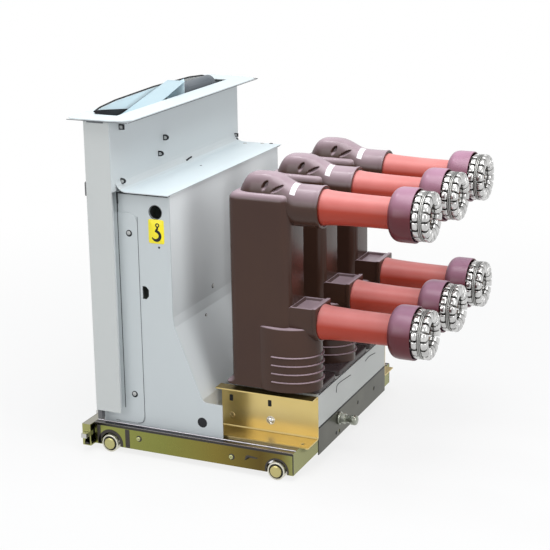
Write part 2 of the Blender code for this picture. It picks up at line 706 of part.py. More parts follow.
def pole_tray(mat):
    """The open-bottomed tray that the poles stand on, with rod holes and shaft bearings."""
    tray = box("pole_tray", (-TRAY_HALF, TRAY_HALF), (TRAY_FRONT, TRAY_REAR), (TRAY_LOW, TRAY_TOP))
    s = TRAY_SHEET
    inside = box("inside", (s - TRAY_HALF, TRAY_HALF - s), (TRAY_FRONT + s, TRAY_REAR - s),
                 (TRAY_LOW - 5, TRAY_TOP - s))
    holes = [cylinder("rod_hole", "z", (x, POLE_Y), LINK_R + RUN, TRAY_TOP - 10, TRAY_TOP + 5)
             for x in (-PHASE_PITCH, 0, PHASE_PITCH)]
    shaft = cylinder("shaft_bore", "x", (SHAFT_Y, SHAFT_Z), SHAFT_R + RUN, -TRAY_HALF - 5, TRAY_HALF + 5)
    cut(tray, inside, *holes, shaft)
    return finish(tray, mat)


def bracket(mat):
    """The right-hand gold bracket: top lip, upright with slots and a wide foot flange."""
    x = BRACKET_X
    low = TRUCK_TOP + FIT
    path = [(BRACKET_FOOT, low + TRAY_SHEET), (x + 2.5, low + TRAY_SHEET), (x, low + TRAY_SHEET + 2.5),
            (x, BRACKET_TOP - 5), (x + 1.5, BRACKET_TOP - 1.5), (x + 4, BRACKET_TOP),
            (x + BRACKET_LIP, BRACKET_TOP)]
    bar = prism("bracket_right", "y", folded(path, TRAY_SHEET), BRACKET_FRONT, TRAY_REAR)
    span = (x - 10, x + 10)
    slots = [prism("slot", "x", ellipse(y, BRACKET_SLOT_Z, *BRACKET_SLOT, 12), *span) for y in BRACKET_SLOT_Y]
    foot_hole = cylinder("hole", "z", BRACKET_HOLE[:2], BRACKET_HOLE[2], low - 5, low + 10)
    cut(bar, *slots, foot_hole)
    return finish(bar, mat)


def rear_plate(mat):
    """The zinc plate below the tray's rear wall, with a flange forward under the tray."""
    y = TRAY_REAR
    top = TRAY_LOW - FIT
    path = [(y, BACK_PLATE_LOW), (y, top - 3), (y - 3, top), (y - BACK_FLANGE, top)]
    plate = prism("rear_plate", "x", folded(path, BACK_SHEET), -TRAY_HALF, TRAY_HALF)
    holes = [cylinder("hole", "y", at, BACK_HOLE_R, y - 10, y + 10) for at in BACK_HOLES]
    cut(plate, *holes)
    return finish(plate, mat)


def earth_contact(mat):
    """The earthing pin bolted to the rear plate: flange, nut, neck and head."""
    y = TRAY_REAR + FIT
    nut_end = y + EARTH_NUT_LONG
    end = y + EARTH_LONG
    profile = [(0, y), (EARTH_FLANGE_R, y), (EARTH_FLANGE_R, y + 5), (EARTH_NUT_R, y + 6),
               (EARTH_NUT_R, nut_end), (EARTH_PIN_R, nut_end + 2), (EARTH_PIN_R, end - 18),
               (EARTH_HEAD_R, end - 16), (EARTH_HEAD_R, end - 4), (EARTH_PIN_R, end), (0, end)]
    return finish(lathe("earth_contact", "y", EARTH_AT, profile, SMALL), mat)


def pole(mat, name, x, inner, outer):
    """One epoxy pole: body with hump, two sockets, ribbed barrel and foot, bored for the live parts."""
    front, back, w = POLE_FRONT, POLE_BACK, POLE_HALF_W
    foot = TRAY_TOP + FIT
    low = foot + BASE_THICK - 1
    walls = [(low, FOOT_FLARE), (low + 3, FOOT_FLARE), (low + FOOT_RISE, 0)]
    rings = [rounded(-w, front - out, w, back, POLE_CORNER) for z, out in walls]
    heights = [z for z, out in walls]
    for inset, rise in arc(SHOULDER_R, 0, SHOULDER_R, 180, 90, 3):
        rings.append(rounded(inset - w, front + inset, w - inset, back - inset / 4, POLE_CORNER - inset / 3))
        heights.append(SHOULDER_Z - SHOULDER_R + rise)
    half, nose = w - SHOULDER_R, front + SHOULDER_R
    for part, narrow, ahead, behind in ((0.55, 1, 9, 10), (0.86, 7, 20, 25), (1.0, 19, 34, 47)):
        rings.append(rounded(narrow - half, nose + ahead, half - narrow, back - behind, 13))
        heights.append(SHOULDER_Z + part * HUMP_RISE)
    body = loft(name, rings, heights)
    parts = [upper_socket(), lower_socket(), barrel(low)]
    parts += [shed(SHED_Z + k * SHED_PITCH) for k in range(SHED_COUNT)]
    parts.append(prism("base", "z", rounded(-inner, front - BASE_AHEAD, outer, TRAY_REAR - 1, BASE_CORNER),
                       foot, foot + BASE_THICK))
    fuse(body, *parts)
    cut(body, *pole_bores())
    for vert in body.data.vertices:
        vert.co.x += x * MM
    return finish(body, mat)


def upper_socket():
    """The round upper socket with a thin lip at its mouth."""
    end = UPPER_SOCKET_END
    profile = [(0, POLE_Y), (SOCKET_R - 4, POLE_Y), (SOCKET_R, POLE_BACK + 10), (SOCKET_R, end - 2),
               (SOCKET_R - 2, end), (0, end)]
    return lathe("upper_socket", "y", (0, UPPER_ARM_Z), profile)


def lower_socket():
    """The lower socket, flat on top and round below, with a lip at its mouth."""
    z, w = LOWER_ARM_Z, LOWER_SOCKET_HALF_W
    roof = z + w - LOWER_SOCKET_ROOF
    outline = arc(0, z, w, 180, 360, 8) + [(w, roof - 6), (w - 5, roof), (5 - w, roof), (-w, roof - 6)]
    socket = prism("lower_socket", "y", outline, POLE_Y, LOWER_SOCKET_END - LIP_LONG)
    lip = [(a * LIP_GROWTH, z + (b - z) * LIP_GROWTH) for a, b in outline]
    return fuse(socket, prism("lip", "y", lip, LOWER_SOCKET_END - LIP_LONG - 1, LOWER_SOCKET_END))


def barrel(low):
    """The wide lower barrel behind the body, with a bevelled top edge."""
    w, d = BARREL_HALF_W, BARREL_HALF_D
    inset, drop = BARREL_BEVEL
    rings = [ellipse(0, BARREL_Y, w - i, d - i, BARREL_SIDES) for i in (0, 0, inset)]
    return loft("barrel", rings, (low, BARREL_TOP - drop, BARREL_TOP))


def shed(z):
    """One rib round the rear of the barrel, cut off square at the front."""
    outline = ellipse(0, BARREL_Y, BARREL_HALF_W + SHED_OUT, BARREL_HALF_D + SHED_OUT, BARREL_SIDES)
    half = [p for p in outline if p[1] > SHED_FRONT]
    edge = max(p[0] for p in outline) - 0.4
    half = sorted(half, key=lambda p: math.atan2(p[1] - SHED_FRONT, p[0]))
    shape = [(edge, SHED_FRONT)] + half + [(-edge, SHED_FRONT)]
    return prism("shed", "z", shape, z - SHED_THICK / 2, z + SHED_THICK / 2)


def pole_bores():
    """Cutters for the interrupter's cavity, the rod bore and the two arm sockets."""
    foot = TRAY_TOP + FIT
    cutters = [cylinder("cavity", "z", (0, POLE_Y), CAVITY_R, CAVITY_LOW, CAVITY_TOP, ROUND),
               cylinder("rod_bore", "z", (0, POLE_Y), ROD_BORE_R, foot - 5, CAVITY_LOW + 1, ROUND),
               cylinder("stem_bore", "z", (0, POLE_Y), STEM_BORE_R, CAVITY_TOP - 1, UPPER_ARM_Z + 3)]
    for z, end in ((UPPER_ARM_Z, UPPER_SOCKET_END), (LOWER_ARM_Z, LOWER_SOCKET_END)):
        seat = end - SEAT_DEPTH
        tail = (ARM_TAIL_START - 1, seat + 1)
        cutters.append(cylinder("arm_bore", "y", (0, z), ARM_TAIL_R + FIT, *tail, ROUND))
        cutters.append(cylinder("sleeve_seat", "y", (0, z), SLEEVE_R + FIT, seat, end + 5, ROUND))
    return cutters


def contact_gap_z():
    """Height of the fixed contact's face: half the stroke above the middle of the bottle."""
    return (CAVITY_LOW + CAVITY_TOP + STROKE) / 2


def interrupter(mat):
    """The vacuum bottle: shell, fixed stem and contact, open round the moving stem below."""
    low, high = CAVITY_LOW + FIT, CAVITY_TOP - FIT
    shell = CAVITY_R - FIT
    stem_top = UPPER_ARM_Z - ARM_TAIL_R - FIT
    gap_z = contact_gap_z()
    back_z = gap_z + CONTACT_THICK
    wall = shell - SHELL_WALL
    profile = [(0, stem_top), (STEM_R, stem_top), (STEM_R, high), (shell - 4, high), (shell, high - 8),
               (shell, low + 8), (shell - 4, low), (STEM_R + RUN, low), (STEM_R + RUN, low + 10),
               (wall, low + 10), (wall, high - 10), (STEM_R, high - 10), (STEM_R, back_z),
               (CONTACT_R, back_z), (CONTACT_R, gap_z), (0, gap_z)]
    return finish(lathe("interrupter_right", "z", (PHASE_PITCH, POLE_Y), profile), mat)


def drive_rod(mat):
    """The moving contact and stem on its insulating rod, with a blade and pin for the lever."""
    face = contact_gap_z() - STROKE - FIT
    back = face - CONTACT_THICK
    end = SHAFT_Z + 22
    profile = [(0, face), (CONTACT_R, face), (CONTACT_R, back), (STEM_R, back), (STEM_R, ROD_TOP),
               (ROD_R, ROD_TOP)]
    for z in reversed(ROD_RIB_Z):
        profile += [(ROD_R, z + 5), (ROD_R + ROD_RIB_OUT, z), (ROD_R, z - 5)]
    profile += [(ROD_R, ROD_LOW), (LINK_R, ROD_LOW - 4), (LINK_R, end), (0, end)]
    rod = lathe("drive_rod_right", "z", (0, POLE_Y), profile, SMALL)
    blade = box("blade", (-BLADE_THICK / 2, BLADE_THICK / 2), (POLE_Y - BLADE_HALF, POLE_Y + BLADE_HALF),
                (SHAFT_Z - BLADE_HALF, end + 4))
    reach = BLADE_THICK / 2 + RUN + LEVER_THICK + 1.5
    pin = cylinder("pin", "x", (POLE_Y, SHAFT_Z), PIN_R, -reach, reach)
    fuse(rod, blade, pin)
    for vert in rod.data.vertices:
        vert.co.x += PHASE_PITCH * MM
    return finish(rod, mat)


def lever_outline():
    """A forked lever seen along the shaft: round the shaft at one end, slotted for the pin at the other."""
    slot = PIN_R + FIT
    root = POLE_Y - PIN_R - 3
    tip = POLE_Y + PIN_R + 7
    wide, narrow = LEVER_HALF
    return [(SHAFT_Y - 4, SHAFT_Z + wide), (SHAFT_Y - 4, SHAFT_Z - wide), (POLE_Y - 4, SHAFT_Z - narrow),
            (tip, SHAFT_Z - narrow), (tip, SHAFT_Z - slot), (root, SHAFT_Z - slot), (root, SHAFT_Z + slot),
            (tip, SHAFT_Z + slot), (tip, SHAFT_Z + narrow), (POLE_Y - 4, SHAFT_Z + narrow)]


def main_shaft(mat):
    """The three-phase shaft with a forked lever for each pole and one crank for the mechanism."""
    shaft = cylinder("main_shaft", "x", (SHAFT_Y, SHAFT_Z), SHAFT_R, -TRAY_HALF, TRAY_HALF)
    levers = []
    for x in (-PHASE_PITCH, 0, PHASE_PITCH):
        for side_sign in (-1, 1):
            near = x + side_sign * (BLADE_THICK / 2 + RUN)
            span = sorted((near, near + side_sign * LEVER_THICK))
            levers.append(prism("lever", "x", lever_outline(), *span))
    crank = [(SHAFT_Y + 6, SHAFT_Z - 8), (SHAFT_Y - 8, SHAFT_Z + 6)]
    crank += arc(SHAFT_Y - 6, SHAFT_Z - CRANK_DROP, CRANK_END_R, 180, 360, 6)
    levers.append(prism("crank", "x", crank[::-1], *CRANK_X))
    fuse(shaft, *levers)
    return finish(shaft, mat, pivot=(0, SHAFT_Y, SHAFT_Z))


def charging_unit(mat):
    """Gearbox and motor of the stored-energy mechanism, against the rear cover."""
    rear = HOUSING_REAR - SHEET - FIT
    front = rear - GEAR_DEPTH
    middle_z = sum(GEAR_Z) / 2
    unit = prism("charging_unit", "x", rounded(front, GEAR_Z[0], rear, GEAR_Z[1], GEAR_CORNER), *GEAR_X)
    side = GEAR_X[1]
    middle_y = (front + rear) / 2
    motor = cylinder("motor", "x", (middle_y, middle_z), MOTOR_R, side - 4, side + MOTOR_LONG, ROUND)
    foot = box("foot", (side + MOTOR_FOOT[0], side + MOTOR_FOOT[1]), (rear - MOTOR_FOOT_DEPTH, rear),
               (middle_z - MOTOR_FOOT_HALF_Z, middle_z + MOTOR_FOOT_HALF_Z))
    fuse(unit, motor, foot)
    cut(unit, cylinder("bore", "y", CHARGE_AT, CHARGE_R + RUN, front - 10, front + CHARGE_BORE_DEPTH + 2))
    return finish(unit, mat)


def charge_shaft(mat):
    """The manual charging shaft from the panel to the gearbox, with flats for the crank handle."""
    rear = HOUSING_REAR - SHEET - FIT - GEAR_DEPTH + CHARGE_BORE_DEPTH
    start = PANEL_FRONT - CHARGE_PROUD
    profile = [(0, start), (CHARGE_R - 1, start), (CHARGE_R, start + 1), (CHARGE_R, rear), (0, rear)]
    shaft = lathe("charge_shaft", "y", CHARGE_AT, profile, SMALL)
    x, z = CHARGE_AT
    flats = [box("flat", sorted((x + s * FLAT_HALF, x + s * (CHARGE_R + 4))), (start - 1, start + FLAT_LONG),
                 (z - CHARGE_R - 4, z + CHARGE_R + 4)) for s in (-1, 1)]
    cut(shaft, *flats)
    return finish(shaft, mat, pivot=(x, start, z))


def button(name, at, mat):
    """A push button with a bevelled face and a guide stem."""
    face = PANEL_FRONT - BUTTON_PROUD
    back = face + BUTTON_LONG
    end = back + BUTTON_STEM_LONG
    profile = [(0, face), (BUTTON_R - 2, face), (BUTTON_R, face + 2), (BUTTON_R, back), (BUTTON_STEM_R, back),
               (BUTTON_STEM_R, end), (0, end)]
    return finish(lathe(name, "y", at, profile, SMALL), mat)


def position_flag(mat):
    """The drum behind the window that shows open or closed."""
    y = PANEL_FRONT + SHEET + RUN + FLAG_R
    sector = arc(y, FLAG_Z, FLAG_R, 100, 260, 12) + [(y + 4, FLAG_Z - 4), (y + 4, FLAG_Z + 4)]
    half = WINDOW_HALF[0] + 2
    drum = prism("position_flag", "x", sector, FLAG_X - half, FLAG_X + half)
    return finish(drum, mat, pivot=(FLAG_X, y, FLAG_Z))


def arm(mat, name, z, end, ring):
    """A contact arm: tail in the pole, thick middle and stepped tip; the lower one ends in a ring."""
    seat = end - SEAT_DEPTH + FIT
    start = POLE_Y + STEM_R + 10 if ring else ARM_TAIL_START
    profile = [(0, start), (ARM_TAIL_R, start), (ARM_TAIL_R, seat), (ARM_R, seat), (ARM_R, ARM_TIP),
               (0, ARM_TIP)]
    bar = lathe(name, "y", (PHASE_PITCH, z), profile)
    if ring:
        at = (PHASE_PITCH, POLE_Y)
        fuse(bar, cylinder("ring", "z", at, ROD_BORE_R - FIT, z - ARM_TAIL_R, z + ARM_TAIL_R, ROUND))
        cut(bar, cylinder("hole", "z", at, STEM_R + RUN, z - ARM_TAIL_R - 10, z + ARM_TAIL_R + 10))
    return finish(bar, mat)


def sleeve(mat, name, z, end):
    """The red insulating sleeve, belled into the socket and slimmer towards the contact."""
    seat = end - SEAT_DEPTH + FIT
    inner = ARM_R + FIT
    stop = COLLAR_START + 8
    profile = [(inner, seat), (SLEEVE_R, seat), (SLEEVE_R, end + 4), (SLEEVE_R - 3, end + SLEEVE_WAIST),
               (SLEEVE_THIN_R, end + SLEEVE_TAPER), (SLEEVE_THIN_R, stop), (inner, stop)]
    return finish(lathe(name, "y", (PHASE_PITCH, z), profile), mat)


def collar(mat, name, z):
    """The mauve cap over the root of the contact cluster, open towards its fingers."""
    bore = SLEEVE_THIN_R + FIT
    r, wall = COLLAR_R, COLLAR_WALL
    y0, y1 = COLLAR_START, COLLAR_END
    profile = [(bore, y0), (r - 14, y0), (r - 4, y0 + 5), (r, y0 + 16), (r, y1), (r - wall, y1),
               (r - wall, y0 + 34), (bore, y0 + 26)]
    return finish(lathe(name, "y", (PHASE_PITCH, z), profile), mat)


def tulip(mat, name, z):
    """The contact cluster: a ring on the arm's tip that parts into a circle of fingers round the mouth."""
    pitch = 360.0 / TULIP_FINGERS
    columns = 2 * TULIP_FINGERS
    flat = math.radians(pitch - FINGER_GAP_DEG)
    bore = (ARM_R + FIT) / math.cos(flat / 2)
    split = ARM_TIP + 2
    face = TULIP_FACE
    ring = [(TULIP_R, split), (TULIP_R, TULIP_ROOT), (bore, TULIP_ROOT), (bore, split)]
    finger = [(bore, split), (TULIP_MOUTH_R, face - 12), (TULIP_MOUTH_R + 7, face), (TULIP_R - 5, face),
              (TULIP_R, split)]
    verts = []
    faces = []
    index = {}

    def point(at, column):
        key = (at, column % columns)
        if key not in index:
            pair, odd = divmod(key[1], 2)
            turn = math.radians(pair * pitch) + odd * flat
            index[key] = len(verts)
            verts.append((PHASE_PITCH + at[0] * math.cos(turn), at[1], z + at[0] * math.sin(turn)))
        return index[key]

    def band(a, b, column):
        faces.append((point(a, column), point(b, column), point(b, column + 1), point(a, column + 1)))

    for column in range(columns):
        for a, b in zip(ring, ring[1:]):
            band(a, b, column)
        if column % 2:
            band(ring[-1], ring[0], column)
            continue
        for a, b in zip(finger, finger[1:]):
            band(a, b, column)
        faces.extend(tuple(point(p, end) for p in finger) for end in (column, column + 1))
    return finish(build(name, verts, faces), mat, smooth=False)


def spread(piece, stem):
    """Copies a right-hand phase piece to the middle and left phases."""
    copy_to(piece, f"{stem}_middle", -PHASE_PITCH)
    copy_to(piece, f"{stem}_left", -2 * PHASE_PITCH)


def make_all():
    """Builds every sub-part with a material of its own."""
    zinc = material("zinc_chromate", ((0.48, 0.49, 0.22), 0.8, 0.35))
    grey = material("grey_paint", ((0.62, 0.65, 0.66), 0.0, 0.5))
    chassis(zinc)
    wheels(material("wheel_steel", ((0.75, 0.74, 0.62), 0.8, 0.35)))
    front_beam(material("beam_zinc", ((0.50, 0.50, 0.24), 0.8, 0.35)))
    bolt = lock_bolt(material("bolt_steel", STEEL))
    mirrored(bolt, "lock_bolt_left")
    lead_screw(material("screw_steel", STEEL))
    plate = side_plate(grey)
    mirrored(plate, "side_plate_left")
    housing_back(material("cover_paint", ((0.60, 0.63, 0.64), 0.0, 0.5)))
    upper_box(material("box_paint", ((0.66, 0.69, 0.70), 0.0, 0.45)))
    front_panel(material("panel_paint", ((0.66, 0.67, 0.67), 0.0, 0.5)))
    inner_tray(material("tray_paint", ((0.72, 0.84, 0.88), 0.0, 0.4)))
    control_plug(material("plug_plastic", ((0.08, 0.09, 0.10), 0.0, 0.5)))
    pole_tray(material("pole_tray_paint", ((0.62, 0.64, 0.65), 0.0, 0.5)))
    gold = bracket(material("gold_chromate", ((0.75, 0.60, 0.28), 0.85, 0.3)))
    mirrored(gold, "bracket_left")
    rear_plate(material("rear_zinc", ((0.50, 0.49, 0.30), 0.8, 0.35)))
    earth_contact(material("earth_steel", STEEL))
    epoxy = material("epoxy", ((0.10, 0.045, 0.04), 0.0, 0.2))
    outer_pole = pole(epoxy, "pole_right", PHASE_PITCH, BASE_IN, BASE_OUT)
    mirrored(outer_pole, "pole_left")
    pole(epoxy, "pole_middle", 0, BASE_IN, BASE_IN)
    spread(interrupter(material("bottle_ceramic", ((0.85, 0.84, 0.80), 0.0, 0.4))), "interrupter")
    spread(drive_rod(material("rod_resin", ((0.55, 0.25, 0.15), 0.0, 0.4))), "drive_rod")
    main_shaft(material("shaft_steel", STEEL))
    charging_unit(material("motor_paint", ((0.15, 0.15, 0.16), 0.3, 0.5)))
    charge_shaft(material("charge_steel", STEEL))
    colours = {"close_button": (0.05, 0.45, 0.12), "open_button": (0.65, 0.04, 0.03)}
    for name, at in BUTTON_AT.items():
        button(name, at, material(f"{name}_plastic", (colours[name], 0.0, 0.35)))
    position_flag(material("flag_plastic", ((0.05, 0.35, 0.15), 0.0, 0.5)))
    copper = material("arm_copper", COPPER)
    red = material("sleeve_silicone", ((0.62, 0.13, 0.06), 0.0, 0.45))
    mauve = material("collar_epoxy", ((0.26, 0.12, 0.16), 0.0, 0.35))
    silver = material("contact_silver", ((0.80, 0.80, 0.80), 1.0, 0.3))
    for level, z, end in (("upper", UPPER_ARM_Z, UPPER_SOCKET_END), ("lower", LOWER_ARM_Z, LOWER_SOCKET_END)):
        spread(arm(copper, f"arm_{level}_right", z, end, level == "lower"), f"arm_{level}")
        spread(sleeve(red, f"sleeve_{level}_right", z, end), f"sleeve_{level}")
        spread(collar(mauve, f"collar_{level}_right", z), f"collar_{level}")
        spread(tulip(silver, f"tulip_{level}_right", z), f"tulip_{level}")


for old in list(bpy.data.objects):
    bpy.data.objects.remove(old)
make_all()
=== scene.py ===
"""Looks of the withdrawable vacuum circuit breaker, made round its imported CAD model.

Shapes are worked out in millimetres: x across, z up from the floor and y measured
from the rear face of the upper box. metres() takes them into the model's own frame.
"""

import json
import math

import bmesh
import bpy
import numpy as np
from mathutils import Matrix, Vector

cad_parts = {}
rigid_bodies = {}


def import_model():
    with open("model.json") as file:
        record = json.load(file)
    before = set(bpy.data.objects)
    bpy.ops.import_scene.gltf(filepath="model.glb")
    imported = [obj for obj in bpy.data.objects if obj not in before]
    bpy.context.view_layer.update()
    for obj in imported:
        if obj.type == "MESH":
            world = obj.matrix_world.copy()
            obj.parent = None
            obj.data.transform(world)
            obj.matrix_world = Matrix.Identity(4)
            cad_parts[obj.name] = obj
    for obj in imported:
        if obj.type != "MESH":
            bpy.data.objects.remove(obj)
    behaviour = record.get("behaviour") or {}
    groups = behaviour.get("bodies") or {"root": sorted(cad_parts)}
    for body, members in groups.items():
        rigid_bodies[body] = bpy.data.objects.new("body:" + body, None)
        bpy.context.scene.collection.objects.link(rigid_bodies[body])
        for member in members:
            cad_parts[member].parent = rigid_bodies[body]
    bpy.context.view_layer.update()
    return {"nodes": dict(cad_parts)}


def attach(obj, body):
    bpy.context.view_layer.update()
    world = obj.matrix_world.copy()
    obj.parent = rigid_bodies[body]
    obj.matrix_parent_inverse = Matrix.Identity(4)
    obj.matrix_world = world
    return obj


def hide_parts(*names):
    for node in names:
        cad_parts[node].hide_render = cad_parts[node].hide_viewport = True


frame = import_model()

MM = 0.001
MID_Y = 307.5
PHASES = {"right": 210.0, "middle": 0.0, "left": -210.0}
LEVELS = {"upper": (634.0, 483.0), "lower": (359.0, 477.0)}
WHEELS = {"front": -40.0, "rear": 404.0}
WHEEL_Z = 22.0
FLOOR_SIZE = 60.0

CAMERA_AT = (3146.768, 1703.111, 1426.239)
CAMERA_AZIMUTH = 112.765
CAMERA_PITCH = 13.702
CAMERA_ROLL = -0.488
FOCAL_PIXELS = 1439.381
CENTRE_PIXEL = (320.0, 200.0)
PICTURE = 550.0


# Camera, light and floor


def place_camera():
    """The photograph's viewpoint: where it stands, which way it looks, and its lens."""
    turn, pitch, roll = (math.radians(a) for a in (CAMERA_AZIMUTH, CAMERA_PITCH, CAMERA_ROLL))
    back = Vector((math.sin(turn) * math.cos(pitch), -math.cos(turn) * math.cos(pitch), math.sin(pitch)))
    right = Vector((math.cos(turn), math.sin(turn), 0.0))
    up = back.cross(right)
    right, up = math.cos(roll) * right + math.sin(roll) * up, math.cos(roll) * up - math.sin(roll) * right
    data = bpy.data.cameras.new("camera")
    data.sensor_width = 36.0
    data.lens = FOCAL_PIXELS / PICTURE * data.sensor_width
    data.shift_x = (PICTURE / 2 - CENTRE_PIXEL[0]) / PICTURE
    data.shift_y = (CENTRE_PIXEL[1] - PICTURE / 2) / PICTURE
    data.clip_end = 100.0
    cam = bpy.data.objects.new("camera", data)
    bpy.context.scene.collection.objects.link(cam)
    place = Matrix((right, up, back)).transposed().to_4x4()
    place.translation = Vector((CAMERA_AT[0], CAMERA_AT[1] - MID_Y, CAMERA_AT[2])) * MM
    cam.matrix_world = place
    bpy.context.scene.camera = cam


def area_lamp(name, at, size, power):
    """A soft square lamp aimed at the middle of the object."""
    data = bpy.data.lights.new(name, "AREA")
    data.size = size
    data.energy = power
    lamp = bpy.data.objects.new(name, data)
    bpy.context.scene.collection.objects.link(lamp)
    lamp.location = at
    lamp.rotation_mode = "QUATERNION"
    lamp.rotation_quaternion = (Vector((0, 0, 0.4)) - Vector(at)).to_track_quat("-Z", "Y")


def seen_directly(tree):
    """One for rays from the camera, from gloss or through glass, so that they see the pale backdrop."""
    path = tree.nodes.new("ShaderNodeLightPath")
    both = tree.nodes.new("ShaderNodeMath")
    both.operation = "MAXIMUM"
    all_three = tree.nodes.new("ShaderNodeMath")
    all_three.operation = "MAXIMUM"
    tree.links.new(path.outputs["Is Camera Ray"], both.inputs[0])
    tree.links.new(path.outputs["Is Glossy Ray"], both.inputs[1])
    tree.links.new(both.outputs[0], all_three.inputs[0])
    tree.links.new(path.outputs["Is Transmission Ray"], all_three.inputs[1])
    return all_three.outputs[0]


def surroundings():
    """An even pale light from all round, which the camera and gloss see as plain white."""
    world = bpy.data.worlds.new("studio")
    bpy.context.scene.world = world
    world.use_nodes = True
    tree = world.node_tree
    tree.nodes.clear()
    lit = tree.nodes.new("ShaderNodeBackground")
    lit.inputs["Color"].default_value = (0.92, 0.96, 1.0, 1.0)
    lit.inputs["Strength"].default_value = 0.46
    white = tree.nodes.new("ShaderNodeBackground")
    white.inputs["Strength"].default_value = 1.0
    mix = tree.nodes.new("ShaderNodeMixShader")
    out = tree.nodes.new("ShaderNodeOutputWorld")
    tree.links.new(seen_directly(tree), mix.inputs[0])
    tree.links.new(lit.outputs[0], mix.inputs[1])
    tree.links.new(white.outputs[0], mix.inputs[2])
    tree.links.new(mix.outputs[0], out.inputs["Surface"])


def pale_floor():
    """A floor that is lit near the object, where it keeps the shadow, and glows white far from it."""
    mesh = bpy.data.meshes.new("floor")
    h = FLOOR_SIZE / 2
    mesh.from_pydata([(-h, -h, 0), (h, -h, 0), (h, h, 0), (-h, h, 0)], [], [(0, 1, 2, 3)])
    floor = bpy.data.objects.new("floor", mesh)
    bpy.context.scene.collection.objects.link(floor)
    mat = bpy.data.materials.new("floor_paint")
    mat.use_nodes = True
    tree = mat.node_tree
    tree.nodes.clear()
    matt = tree.nodes.new("ShaderNodeBsdfDiffuse")
    matt.inputs["Color"].default_value = (0.70, 0.70, 0.70, 1.0)
    glow = tree.nodes.new("ShaderNodeEmission")
    glow.inputs["Strength"].default_value = 1.0
    place = tree.nodes.new("ShaderNodeTexCoord").outputs["Object"]
    away = tree.nodes.new("ShaderNodeVectorMath")
    away.operation = "LENGTH"
    tree.links.new(place, away.inputs[0])
    spread = tree.nodes.new("ShaderNodeMapRange")
    spread.interpolation_type = "SMOOTHSTEP"
    for socket, value in zip(spread.inputs[1:5], (0.5, 2.4, 0.80, 1.0)):
        socket.default_value = value
    tree.links.new(away.outputs["Value"], spread.inputs[0])
    share = tree.nodes.new("ShaderNodeMath")
    share.operation = "MULTIPLY"
    tree.links.new(spread.outputs[0], share.inputs[1])
    mix = tree.nodes.new("ShaderNodeMixShader")
    out = tree.nodes.new("ShaderNodeOutputMaterial")
    tree.links.new(seen_directly(tree), share.inputs[0])
    tree.links.new(share.outputs[0], mix.inputs[0])
    tree.links.new(matt.outputs[0], mix.inputs[1])
    tree.links.new(glow.outputs[0], mix.inputs[2])
    tree.links.new(mix.outputs[0], out.inputs["Surface"])
    mesh.materials.append(mat)


def studio():
    """Surroundings, three soft lamps with a small one for glints, and the floor."""
    surroundings()
    area_lamp("overhead", (0.5, 0.4, 3.2), 2.2, 78.0)
    area_lamp("camera_left", (3.4, -1.2, 1.7), 1.8, 30.0)
    area_lamp("camera_right", (1.2, 3.6, 1.7), 1.8, 46.0)
    area_lamp("glint", (-0.3, -1.0, 3.1), 0.35, 9.0)
    pale_floor()


# Shared effects, each a node group with its own values in every material


def new_group(name, inputs, outputs):
    """A shader node group with named sockets; returns its tree, input node and output node."""
    tree = bpy.data.node_groups.new(name, "ShaderNodeTree")
    for socket, (kind, value) in inputs.items():
        made = tree.interface.new_socket(name=socket, in_out="INPUT", socket_type=kind)
        made.default_value = value
    for socket, kind in outputs.items():
        tree.interface.new_socket(name=socket, in_out="OUTPUT", socket_type=kind)
    return tree, tree.nodes.new("NodeGroupInput"), tree.nodes.new("NodeGroupOutput")


def maths(tree, operation, a, b=None, clamp=False):
    """A Math node; a and b are sockets or numbers."""
    node = tree.nodes.new("ShaderNodeMath")
    node.operation = operation
    node.use_clamp = clamp
    for socket, value in zip(node.inputs, (a, b)):
        if isinstance(value, bpy.types.NodeSocket):
            tree.links.new(value, socket)
        elif value is not None:
            socket.default_value = value
    return node.outputs[0]


def noise(tree, vector, scale, detail=4.0, rough=0.55):
    """A Noise texture on a vector; scale is a socket or a number."""
    node = tree.nodes.new("ShaderNodeTexNoise")
    node.inputs["Detail"].default_value = detail
    node.inputs["Roughness"].default_value = rough
    tree.links.new(vector, node.inputs["Vector"])
    if isinstance(scale, bpy.types.NodeSocket):
        tree.links.new(scale, node.inputs["Scale"])
    else:
        node.inputs["Scale"].default_value = scale
    return node.outputs[0]


def blend_colours(tree, factor, a, b):
    """A colour Mix node; a and b are sockets or colours."""
    node = tree.nodes.new("ShaderNodeMix")
    node.data_type = "RGBA"
    for value, index in ((factor, 0), (a, 6), (b, 7)):
        socket = node.inputs[index]
        if isinstance(value, bpy.types.NodeSocket):
            tree.links.new(value, socket)
        elif index:
            socket.default_value = (*value, 1.0)
        else:
            socket.default_value = value
    return node.outputs[2]


def cloudy_group():
    """Slow drifts between two colours, with fine specks of the second over the first."""
    tree, start, end = new_group(
        "cloudy_colour",
        {"Vector": ("NodeSocketVector", (0, 0, 0)), "Colour": ("NodeSocketColor", (0.5, 0.5, 0.5, 1)),
         "Second": ("NodeSocketColor", (0.4, 0.4, 0.4, 1)), "Scale": ("NodeSocketFloat", 4.0),
         "Drift": ("NodeSocketFloat", 0.5), "Speck": ("NodeSocketFloat", 0.1)},
        {"Colour": "NodeSocketColor"})
    slow = noise(tree, start.outputs["Vector"], start.outputs["Scale"], 3.0)
    slow = maths(tree, "MULTIPLY", maths(tree, "SUBTRACT", slow, 0.3, True), 2.2, True)
    fine = noise(tree, start.outputs["Vector"], maths(tree, "MULTIPLY", start.outputs["Scale"], 90.0), 2.0)
    fine = maths(tree, "MULTIPLY", maths(tree, "SUBTRACT", fine, 0.5, True), start.outputs["Speck"])
    share = maths(tree, "ADD", maths(tree, "MULTIPLY", slow, start.outputs["Drift"]), fine, True)
    tree.links.new(blend_colours(tree, share, start.outputs["Colour"], start.outputs["Second"]),
                   end.inputs[0])
    return tree


